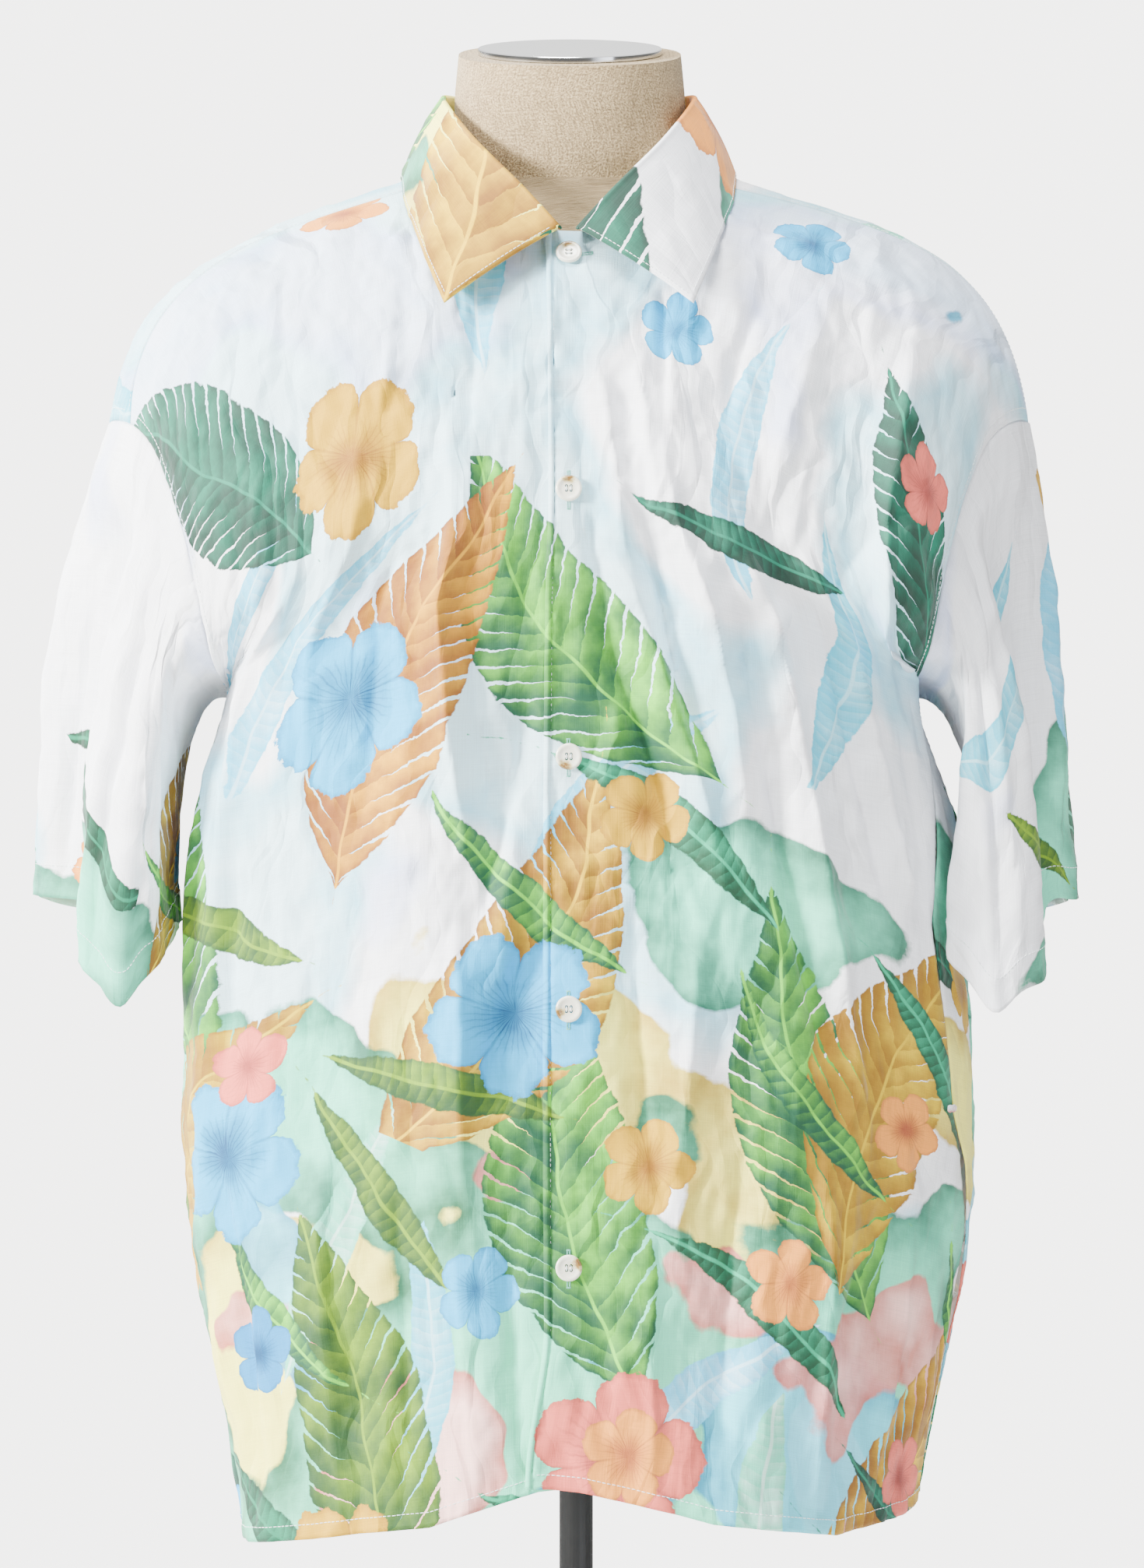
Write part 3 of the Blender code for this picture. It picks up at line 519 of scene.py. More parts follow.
def vent_lift(drop: Array, to_seam: Array, lift: float) -> Array:
    """How far the panel's edge stands off below the top of the vent."""
    rise = smooth_step(VENT_TOP, VENT_TOP + VENT_FADE, drop)
    return lift * rise * (1 - smooth_step(0.0, VENT_REACH, to_seam))


# Creases. They rise and die out over these shares of their run, and their narrow and wide flanks have
# these slopes.
CREASE_ENDS = ((-0.04, 0.38), (0.62, 1.04))
CREASE_STEEP = (0.75, 1.15)


@dataclass(frozen=True)
class Crease:
    """A soft trough or ridge on the flat panel, in metres.

    It runs from (x0, y0) to (x1, y1), bowed sideways by BOW, and dies out at both ends. LEFT and RIGHT
    are how far its flanks reach, so it can lean. A positive height stands out.
    """

    x0: float
    y0: float
    x1: float
    y1: float
    bow: float
    left: float
    right: float
    height: float
    crest: float = 0.0009

    def lift(self, x: Array, y: Array) -> Array:
        """The crease's height.

        Args:
            x: Flat places across.
            y: Flat places down.

        Returns:
            One height for each place.
        """
        run = np.array([self.x1 - self.x0, self.y1 - self.y0])
        length = float(np.hypot(*run))
        along = ((x - self.x0) * run[0] + (y - self.y0) * run[1]) / length
        aside = ((x - self.x0) * -run[1] + (y - self.y0) * run[0]) / length
        share = along / length
        aside = aside - self.bow * 4 * share * (1 - share)
        ends = smooth_step(*CREASE_ENDS[0], share) * (1 - smooth_step(*CREASE_ENDS[1], share))
        flank = np.where(aside > 0, self.left, self.right)
        steep = np.where(flank <= min(self.left, self.right), *CREASE_STEEP)
        distance = np.sqrt(aside**2 + self.crest**2) - self.crest
        return self.height * ends * np.exp(-distance / (flank * steep))


def creases(text: str) -> list[Crease]:
    """Creases from rows of x0, y0, x1, y1, bow, left, right and height in millimetres."""
    return [Crease(*row) for row in table(text)]


def crease_lift(found: Sequence[Crease], x: Array, y: Array) -> Array:
    """The summed height of several creases.

    Args:
        found: The creases.
        x: Flat places across.
        y: Flat places down.

    Returns:
        One height for each place.
    """
    total = np.zeros(np.broadcast(x, y).shape)
    for crease in found:
        total += crease.lift(x, y)
    return total


# Rows of x0 y0 x1 y1, bow, left, right, height, in mm: x from the centre line (+ to the wearer's
# left), y the drop from the shoulder ridge.
FRONT_CREASES = creases(
    """
    -78 205 -48 470 6 7 17 8.5
    -61 250 -30 480 4 10 8 -5
    -16 330 -58 510 -4 14 6 -6
    -14 455 -52 600 3 6 14 -5.5
    -30 360 -36 560 0 10 10 4
    -62 450 -56 650 -3 12 9 5
    -135 190 -150 400 4 14 12 4.5
    -112 230 -118 460 -5 12 16 -4
    -185 250 -205 500 6 12 10 6
    -196 390 -204 560 -2 6 13 -5
    -225 300 -232 520 3 10 8 5
    -132 560 -140 800 3 13 10 5.5
    -94 590 -98 790 -3 10 14 -4.5
    -62 620 -50 790 2 8 12 4.2
    -205 560 -196 780 -3 12 12 -5
    -30 630 -26 780 2 8 7 -3
    -50 130 -64 230 2 9 7 -2.6
    -100 110 -128 210 -4 12 10 3
    -24 150 -30 260 1 7 9 2.6
    -220 130 -150 250 10 12 16 -3.5
    -240 230 -170 300 6 10 14 4
    -175 290 -120 330 -4 8 10 -2.5
    4 300 60 470 -6 7 15 -7
    22 270 82 470 -7 13 7 5.5
    46 250 74 410 4 6 12 -7
    60 220 94 430 -4 12 8 5.5
    8 195 28 370 3 7 11 -4.5
    16 170 40 320 -3 10 7 4.2
    40 160 66 280 3 7 12 4
    52 120 60 220 -3 8 6 -3
    92 255 150 600 10 9 22 -9.5
    112 235 170 610 9 22 10 10
    150 280 188 480 5 8 16 -6
    166 270 206 500 5 14 8 5.5
    205 320 212 520 2 9 10 -4
    34 450 46 630 3 12 8 -5.5
    66 460 54 620 -2 8 12 5
    92 580 86 760 3 10 8 -4.5
    136 590 140 790 -2 6 16 6.2
    158 620 160 790 2 10 7 -5
    196 590 192 780 -4 9 12 5.5
    40 640 46 790 -2 12 10 4
    118 110 98 230 3 12 9 -3.2
    204 80 236 345 4 12 30 9.6
    150 120 126 250 -4 12 14 3.6
    236 170 168 280 -10 14 10 -3.8
    246 230 178 310 -6 12 10 4
    """
)

BACK_CREASES = creases(
    """
    -30 110 -44 420 4 14 10 7.8
    24 90 40 360 -4 10 16 -6.5
    66 130 52 480 6 12 16 8.4
    -82 140 -100 520 -6 14 10 -7.8
    -128 180 -118 560 4 12 18 9.1
    112 160 128 520 4 16 10 -8.4
    156 220 146 600 -5 10 16 8.1
    -172 260 -182 620 3 10 14 -7.8
    196 300 206 640 3 14 10 -6.5
    -216 300 -206 600 4 12 10 7.2
    -10 420 4 760 3 12 14 -7.2
    34 480 24 800 -3 14 10 7.8
    -60 500 -50 800 3 12 10 7.2
    90 520 100 800 -4 10 14 -6.5
    -134 560 -140 800 3 14 12 -6.5
    160 600 150 800 3 12 10 6.8
    -230 120 -130 240 10 14 10 5.9
    232 120 140 250 -8 10 14 -5.9
    -210 210 -120 280 4 10 12 -5.2
    214 210 130 300 -6 12 10 5.5
    -40 60 -100 160 4 10 12 -3.9
    44 56 96 150 -4 12 10 3.9
    """
)

# On a sleeve x goes round it from the underarm's front, a whole turn in SLEEVE_TURN, and y down it. On
# the left one they lie LEFT_SLEEVE_SHIFT further round.
SLEEVE_TURN = 0.46
SLEEVE_FALL = 0.26
LEFT_SLEEVE_SHIFT = 0.021
SLEEVE_CREASES = creases(
    """
    158 -30 178 330 0 7 30 -10
    128 20 144 330 2 24 14 4.5
    70 30 82 270 6 10 16 6
    110 50 128 280 -4 8 12 -5
    150 10 176 250 5 14 9 5
    196 40 204 270 -4 8 12 -4.5
    238 20 232 240 3 12 10 4.2
    276 50 288 280 4 10 14 -5.5
    330 30 322 260 -4 14 10 5.5
    376 40 388 270 3 9 12 -4.8
    424 20 414 220 -3 10 10 4
    30 20 46 220 3 9 9 -4
    """
)


# Panels.


@dataclass
class Panel:
    """A grid of cloth points with their normals and their flat places, in rows and columns."""

    points: Array
    normals: Array
    flat: Array
    closed: bool = False

    def on(self, row: Array | float, column: Array | float) -> tuple[Array, Array]:
        """Points and normals between grid lines.

        Args:
            row: Row numbers with a fraction.
            column: Column numbers with a fraction.

        Returns:
            Points and unit normals.
        """
        rows, columns = self.points.shape[:2]
        row, column = np.broadcast_arrays(np.asarray(row, float), np.asarray(column, float))
        row = np.clip(row, 0.0, rows - 1.0001)
        column = np.mod(column, columns) if self.closed else np.clip(column, 0.0, columns - 1.0001)
        i = np.floor(row).astype(int)
        j = np.floor(column).astype(int)
        a = (row - i)[..., None]
        b = (column - j)[..., None]
        k = (j + 1) % columns if self.closed else j + 1
        found = []
        for grid in (self.points, self.normals):
            low = grid[i, j] * (1 - b) + grid[i, k] * b
            high = grid[i + 1, j] * (1 - b) + grid[i + 1, k] * b
            found.append(low * (1 - a) + high * a)
        return found[0], unit(found[1])


def grid_normals(points: Array, guide: Array, closed: bool = False) -> Array:
    """Unit normals of a grid of points.

    Args:
        points: The grid.
        guide: Rough normals, whose side is kept.
        closed: Whether the last column joins the first.

    Returns:
        One normal for each point.
    """
    if closed:
        across = np.roll(points, -1, axis=1) - np.roll(points, 1, axis=1)
    else:
        across = np.gradient(points, axis=1)
    found = unit(np.cross(across, np.gradient(points, axis=0)))
    return found * np.sign((found * guide).sum(axis=-1).mean())


# How a hung shirt differs from its even sheets.


@dataclass(frozen=True)
class Drape:
    """The unevenness that all panels share, so that it runs on across their seams.

    FACETS are the small ones of washed lawn: shift of the noise, size and height of each kind.
    """

    noise: Noise
    sharpness: float = 1.7
    hem_turn: float = 0.0078
    button_drops: tuple[float, ...] = (0.118, 0.252, 0.393, 0.526, 0.663)
    facets: Rows = ((0.0, 0.060, 0.0030), (3.0, 0.025, 0.0023), (7.0, 0.0115, 0.0011))
    drawn_out: float = 0.62
    pin_reach: tuple[float, float] = (0.007, 0.026)
    pin_tall: float = 0.8
    hem_proud: float = 0.00045
    hem_soft: float = 0.0012
    gather: float = 0.0068
    gather_height: float = 0.00022
    gather_reach: float = 0.006
    gather_drift: tuple[float, float] = (2.1, 61.0)

    def crumple(self, points: Array) -> Array:
        """The small facets' height at places in space, drawn out downwards."""
        hung = points * np.array([1.0, 1.0, self.drawn_out])
        return sum(self.noise.crumple(hung + shift, size) * height for shift, size, height in self.facets)

    def pinned(self, x: Array, y: Array) -> Array:
        """How free the fronts are of the buttons that hold them together.

        Args:
            x: Distances from the centre line.
            y: Drops.

        Returns:
            0 at a button and 1 away from them all.
        """
        free = np.ones(np.broadcast(x, y).shape)
        for drop in self.button_drops:
            free = free * smooth_step(*self.pin_reach, np.hypot(x, (y - drop) * self.pin_tall))
        return free

    def hem_step(self, to_hem: Array) -> Array:
        """How far the turned-up hem stands proud of the single cloth."""
        return self.hem_proud * (1 - smooth_step(self.hem_turn, self.hem_turn + self.hem_soft, to_hem))

    def pucker(self, along: Array, from_line: Array) -> Array:
        """The fine gathers that a row of machine stitches draws up beside it.

        Args:
            along: Places along the row.
            from_line: Distances from it.

        Returns:
            One height for each place.
        """
        swing, often = self.gather_drift
        wave = np.sin(along * 2 * math.pi / self.gather + swing * np.sin(along * often))
        return self.gather_height * wave * np.exp(-((from_line / self.gather_reach) ** 2))


@dataclass
class BodyPanel:
    """One front, or half of the back, with its folds, creases and seams.

    LAYER is how far a front lies off the overlap's middle, STEP the grid's mesh, FOLD_SHARE how much of
    the CAD's folds it keeps. PLUMP, ROLLED and GROOVE shape the turned front edge.
    """

    side: Side
    drape: Drape
    creases: Sequence[Crease]
    front: bool = True
    layer: float = 0.0
    step: float = 0.00232
    fold_share: float = 0.75
    edge_stitch: float = 0.0033
    side_stitch: float = 0.006
    plump: float = 0.0011
    plump_fade: tuple[float, float] = (-0.0007, 0.0003)
    rolled: float = -0.0009
    rolled_width: float = 0.0014
    groove: float = -0.0009
    groove_width: float = 0.0006

    @property
    def row_step(self) -> float:
        """The rows' distance below the underarm."""
        return (HEM - UNDERARM) / round((HEM - UNDERARM) / self.step)

    @property
    def column_step(self) -> float:
        """The columns' distance outside the neck."""
        return (PANEL_WIDTH - NECK_HALF) / round((PANEL_WIDTH - NECK_HALF) / self.step)

    def column_metres(self) -> Array:
        """Where the columns are, before the side seam takes its share.

        Returns:
            Distances from the centre line.
        """
        neck = NECK_HALF / PANEL_WIDTH
        turns = round(NECK_HALF * NECK_FINER / self.step)
        inner = neck * np.sin(np.linspace(0.0, math.pi / 2, turns + 1))
        outer = np.linspace(neck * NECK_CORNER, 1.0, round((PANEL_WIDTH - NECK_HALF) / self.step))
        shares = np.concatenate([inner, outer])
        if self.front:
            overlap = (np.array(PLACKET_COLUMNS) - OVERLAP) / PANEL_WIDTH
            shares = np.concatenate([overlap, shares])
        return shares * PANEL_WIDTH

    def edge_roll(self, from_edge: Array) -> Array:
        """The turned front edge: rounded at its fold, plump up to its stitches and drawn in along them.

        Args:
            from_edge: Distances from the fold.

        Returns:
            Heights above the cloth.
        """
        sewn = self.edge_stitch
        plump = self.plump * (1 - smooth_step(*self.plump_fade, from_edge - sewn))
        rolled = self.rolled * (1 - smooth_step(0.0, self.rolled_width, from_edge))
        return plump + rolled + self.groove * np.exp(-(((from_edge - sewn) / self.groove_width) ** 2))

    def row_drops(self, top: Array) -> Array:
        """Where the rows are.

        Args:
            top: The drop of each column's upper end.

        Returns:
            Drops, in rows and columns.
        """
        upper = np.linspace(0.0, 1.0, round(UNDERARM / self.step))[:, None]
        lower = np.linspace(0.0, 1.0, round((HEM - UNDERARM) / self.step) + 1)[1:, None]
        above = top + (UNDERARM - top) * upper
        return np.concatenate([above, UNDERARM + (HEM - UNDERARM) * lower + 0.0 * top])

    def build(self) -> Panel:
        """Makes the panel's grid.

        Returns:
            Its points, normals and flat places.
        """
        sheet = HalfSheet(self.side)
        shares = self.column_metres() / PANEL_WIDTH
        top = sheet.front_top(shares) if self.front else -sheet.back_top(shares)
        drop = self.row_drops(top)
        seam = 1.0 + np.interp(np.abs(drop[:, -1]), SEAM_SHIFT_DROPS, self.side.seam_shift)
        end = (seam if self.front else 2.0 - seam)[:, None] - SEAM_GAP / PANEL_WIDTH
        span = np.where(shares[None] < 0, shares[None], shares[None] * end)
        sag = self.side.front_sag if self.front else self.side.back_sag
        hung = drop + hem_sag(sag, drop, span)
        facing = 1.0 if self.front else -1.0
        base = sheet.on_row(hung * facing, span)
        normal = sheet.outward(hung * facing, span)
        metres = np.abs(span) * PANEL_WIDTH
        kick = PLACKET_KICK * smooth_step(KICK_FROM, HEM, drop) * (1 - smooth_step(0.0, KICK_REACH, metres))
        kick = kick * (self.layer > 0)
        base[..., 0] -= kick
        x = self.side.sign * span * PANEL_WIDTH - kick
        to_side = (end - span) * PANEL_WIDTH
        to_top = drop - top[None]
        to_hem = HEM - drop
        lift = sheet.fold_height(hung * facing, span) * self.fold_share
        free = smooth_step(*SIDE_FADE, to_side) * smooth_step(*TOP_FADE, to_top)
        pins = self.drape.pinned(x, hung) if self.front else 1.0
        lift = lift + crease_lift(self.creases, x, hung) * free * pins * self.drape.sharpness
        away = FACET_AT_SIDE + (1 - FACET_AT_SIDE) * smooth_step(*FACET_SIDE_FADE, to_side)
        small = self.drape.crumple(base) * away * smooth_step(*FACET_TOP_FADE, to_top)
        lift = lift + small * (FACET_AT_PIN + (1 - FACET_AT_PIN) * pins)
        lift = lift + self.layer * (1 - smooth_step(*LAYER_FADE, metres))
        lift = lift + vent_lift(drop, end - span, VENT_LIFT[0] if self.front else VENT_LIFT[1])
        lift = lift + self.drape.hem_step(to_hem)
        lift = lift + self.drape.pucker(x, to_hem - self.drape.hem_turn)
        lift = lift + self.drape.pucker(hung, to_side - self.side_stitch) * SEAM_PUCKER
        if self.front:
            from_edge = span * PANEL_WIDTH + OVERLAP
            lift = lift + self.drape.pucker(hung, from_edge - self.edge_stitch) * SEAM_PUCKER
            lift = lift + self.edge_roll(from_edge) * (self.layer > 0)
        points = base + normal * lift[..., None]
        flat_x = self.side.sign * span * PANEL_WIDTH
        flat = np.stack([flat_x if self.front else BACK_PRINT - flat_x, -hung], axis=-1)
        return Panel(points, grid_normals(points, normal), flat)


# Meshes.

Object = bpy.types.Object
Material = bpy.types.Material
Faces = Sequence[Sequence[int]]


def new_object(name: str, data: bpy.types.ID) -> Object:
    """Makes an object and links it to the scene.

    Args:
        name: The object's name.
        data: Its mesh, light or camera.

    Returns:
        The linked object.
    """
    made = bpy.data.objects.new(name, data)
    bpy.context.scene.collection.objects.link(made)
    return made


def new_mesh(name: str, points: Array, faces: Faces, finishes: Sequence[Material]) -> bpy.types.Mesh:
    """Makes a smooth mesh.

    Args:
        name: The mesh's name.
        points: One row for each point.
        faces: Point numbers of each face.
        finishes: Its materials.

    Returns:
        The mesh.
    """
    mesh = bpy.data.meshes.new(name)
    mesh.from_pydata(points.tolist(), [], faces)
    mesh.shade_smooth()
    for finish in finishes:
        mesh.materials.append(finish)
    return mesh


def solid_object(name: str, points: Array, faces: Faces, finish: Material) -> Object:
    """Makes a smooth object whose faces all look outwards.

    Args:
        name: The piece's name.
        points: One row for each point.
        faces: Point numbers of each face.
        finish: Its material.

    Returns:
        The linked object.
    """
    mesh = new_mesh(name, points, faces, [finish])
    built = bmesh.new()
    built.from_mesh(mesh)
    bmesh.ops.recalc_face_normals(built, faces=built.faces)
    built.to_mesh(mesh)
    built.free()
    return new_object(name, mesh)


def ring_faces(rings: int, around: int, capped: bool = True) -> list[tuple[int, ...]]:
    """Faces that join rings of points.

    Args:
        rings: How many rings there are.
        around: Points in each ring.
        capped: Whether the first and the last ring are closed.

    Returns:
        Point numbers of each face.
    """
    starts = [ring * around for ring in range(rings)]
    faces: list[tuple[int, ...]] = [
        (low + k, low + (k + 1) % around, high + (k + 1) % around, high + k)
        for low, high in zip(starts, starts[1:])
        for k in range(around)
    ]
    ends = (starts[0], starts[-1]) if capped else ()
    return faces + [tuple(range(start, start + around)) for start in ends]


def settle(pieces: Sequence[Object], node: str = "") -> None:
    """Gives pieces their slot and body.

    Args:
        pieces: The pieces; the first stands for the CAD node, if there is one.
        node: The CAD node's name.
    """
    if node:
        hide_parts(node)
    for piece in pieces:
        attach(piece, "root")


@dataclass(frozen=True)
class Shell:
    """How a grid of points becomes a piece of cloth with a thickness."""

    name: str
    thickness: float
    finishes: tuple[Material, ...]

    def build(self, panel: Panel) -> Object:
        """Makes the object, with the face side out and the reverse in.

        Args:
            panel: The grid, in the shirt's own place.

        Returns:
            The linked object.
        """
        rows, columns = panel.points.shape[:2]
        last = columns if panel.closed else columns - 1
        i, j = np.meshgrid(np.arange(rows - 1), np.arange(last), indexing="ij")
        right = (j + 1) % columns
        wide = panel.flat.shape[1]
        low, high = i * columns, (i + 1) * columns
        quads = np.stack([low + j, low + right, high + right, high + j])
        low, high = i * wide, (i + 1) * wide
        places = np.stack([low + j, low + j + 1, high + j + 1, high + j])
        quads, places = quads.reshape(4, -1).T, places.reshape(4, -1).T
        middle = quads[len(quads) // 2]
        corners = panel.points.reshape(-1, 3)[middle]
        seen = np.cross(corners[1] - corners[0], corners[3] - corners[0])
        if float(seen @ panel.normals.reshape(-1, 3)[middle[0]]) < 0:
            quads, places = quads[:, ::-1], places[:, ::-1]
        mesh = new_mesh(self.name, panel.points.reshape(-1, 3) + HOME, quads.tolist(), self.finishes)
        flat = panel.flat.reshape(-1, 2)[places.reshape(-1)].astype(np.float32)
        mesh.uv_layers.new(name="flat").data.foreach_set("uv", flat.ravel())
        made = new_object(self.name, mesh)
        wall = made.modifiers.new("wall", "SOLIDIFY")
        wall.thickness = self.thickness
        wall.offset = 0.0
        wall.use_even_offset = wall.use_quality_normals = True
        wall.material_offset = len(self.finishes) - 1
        return made


@dataclass
class ThreadWork:
    """Machine stitches: short rounded floats of thread that sink into the cloth at both ends.

    PROFILE gives each float's rings: how far along it, how thick and how high, the last two in radii.
    """

    radius: float = 0.00024
    pitch: float = 0.0027
    gap: float = 0.0005
    sides: int = 5
    profile: Rows = ((0.0, 0.55, -0.5), (0.25, 1.0, 0.35), (0.75, 1.0, 0.35), (1.0, 0.55, -0.5))
    points: list[Array] = field(default_factory=list)
    faces: list[Array] = field(default_factory=list)

    def float_between(self, start: Array, end: Array, normal: Array) -> None:
        """Adds floats of thread.

        Args:
            start: Where each enters the cloth, one row each.
            end: Where each goes back in.
            normal: The cloth's normal at each.
        """
        along = unit(end - start)
        side = unit(np.cross(normal, along))
        up = np.cross(along, side)
        rings = []
        for share, swell, rise in self.profile:
            centre = start + (end - start) * share + up * self.radius * rise
            for k in range(self.sides):
                angle = 2 * math.pi * k / self.sides
                rings.append(centre + (side * math.cos(angle) + up * math.sin(angle)) * self.radius * swell)
        placed = np.stack(rings, axis=1)
        built = sum(len(points) for points in self.points)
        first = built + np.arange(len(placed))[:, None, None] * len(rings)
        faces = np.array(ring_faces(len(self.profile), self.sides, capped=False))
        self.faces.append((faces[None] + first).reshape(-1, 4))
        self.points.append(placed.reshape(-1, 3))

    def seam(self, panel: Panel, row: Array | float, column: Array | float, proud: float) -> None:
        """Adds a line of stitches.

        Args:
            panel: The cloth that it is sewn in.
            row: Row numbers along the line.
            column: Column numbers along the line.
            proud: From the cloth's middle to its face.
        """
        place, normal = panel.on(row, column)
        reach = np.concatenate([[0.0], np.cumsum(np.linalg.norm(np.diff(place, axis=0), axis=1))])
        starts = np.arange(self.pitch * 0.5, reach[-1] - self.pitch, self.pitch)
        ends = starts + self.pitch - self.gap
        first, last, facing = (
            np.stack([np.interp(at, reach, values[:, k]) for k in range(3)], axis=1)
            for at, values in ((starts, place), (ends, place), (starts, normal))
        )
        facing = unit(facing)
        self.float_between(first + facing * proud, last + facing * proud, facing)

    def build(self, name: str, finish: Material, home: Array | float = HOME) -> Object:
        """Makes one object of all stitches so far."""
        faces = np.concatenate(self.faces).tolist()
        return new_object(name, new_mesh(name, np.concatenate(self.points) + home, faces, [finish]))


# Materials.

Tree = bpy.types.NodeTree
Socket = bpy.types.NodeSocket
Value = Socket | float | tuple
Inputs = dict[int | str, Value]
Adder = Callable[..., Socket]


def connect(node: bpy.types.Node, inputs: Inputs) -> None:
    """Links or sets a node's inputs.

    Args:
        node: The node.
        inputs: Sockets to link and values to set, each by its input's name or number.
    """
    for key, value in inputs.items():
        if isinstance(value, Socket):
            node.id_data.links.new(value, node.inputs[key])
        else:
            node.inputs[key].default_value = value


def add_node(
    tree: Tree,
    kind: str,
    inputs: Inputs | tuple[Value, ...] = (),
    output: int | str = 0,
    ramp: Sequence[tuple[float, str]] = (),
    **settings: object,
) -> Socket:
    """Adds a shader node.

    Args:
        tree: The tree that takes it.
        kind: The node's kind without its prefix, then its operation if it has one.
        inputs: Values or sockets for its first inputs in order, or for the named ones.
        output: The output that is returned.
        ramp: Places and sRGB colours, for a colour ramp.
        settings: The node's own settings.

    Returns:
        The chosen output.
    """
    kind, *operation = kind.split()
    made = tree.nodes.new("ShaderNode" + kind)
    for name, value in (*zip(["operation"], operation), *settings.items()):
        setattr(made, name, value)
    if ramp:
        stops = made.color_ramp.elements
        stops[0].position, stops[0].color = ramp[0][0], linear(ramp[0][1])
        stops[1].position, stops[1].color = ramp[-1][0], linear(ramp[-1][1])
        for place, colour in ramp[1:-1]:
            stops.new(place).color = linear(colour)
    connect(made, inputs if isinstance(inputs, dict) else dict(enumerate(inputs)))
    return made.outputs[output]


@dataclass(frozen=True)
class Finish:
    """A material named for its stuff and how its surface was made."""

    name: str

    def nodes(self, add: Adder) -> Inputs:
        """Adds the finish's nodes."""
        raise NotImplementedError

    def build(self) -> Material:
        """Makes the material.

        Returns:
            The material, with its shader's inputs set or linked.
        """
        made = bpy.data.materials.new(self.name)
        made.use_nodes = True
        add = partial(add_node, made.node_tree)
        connect(made.node_tree.nodes["Principled BSDF"], self.nodes(add))
        return made


class Motif(Enum):
    """What is printed in a cell."""

    LEAF = "leaf"
    BLADE = "blade"
    BLOSSOM = "blossom"


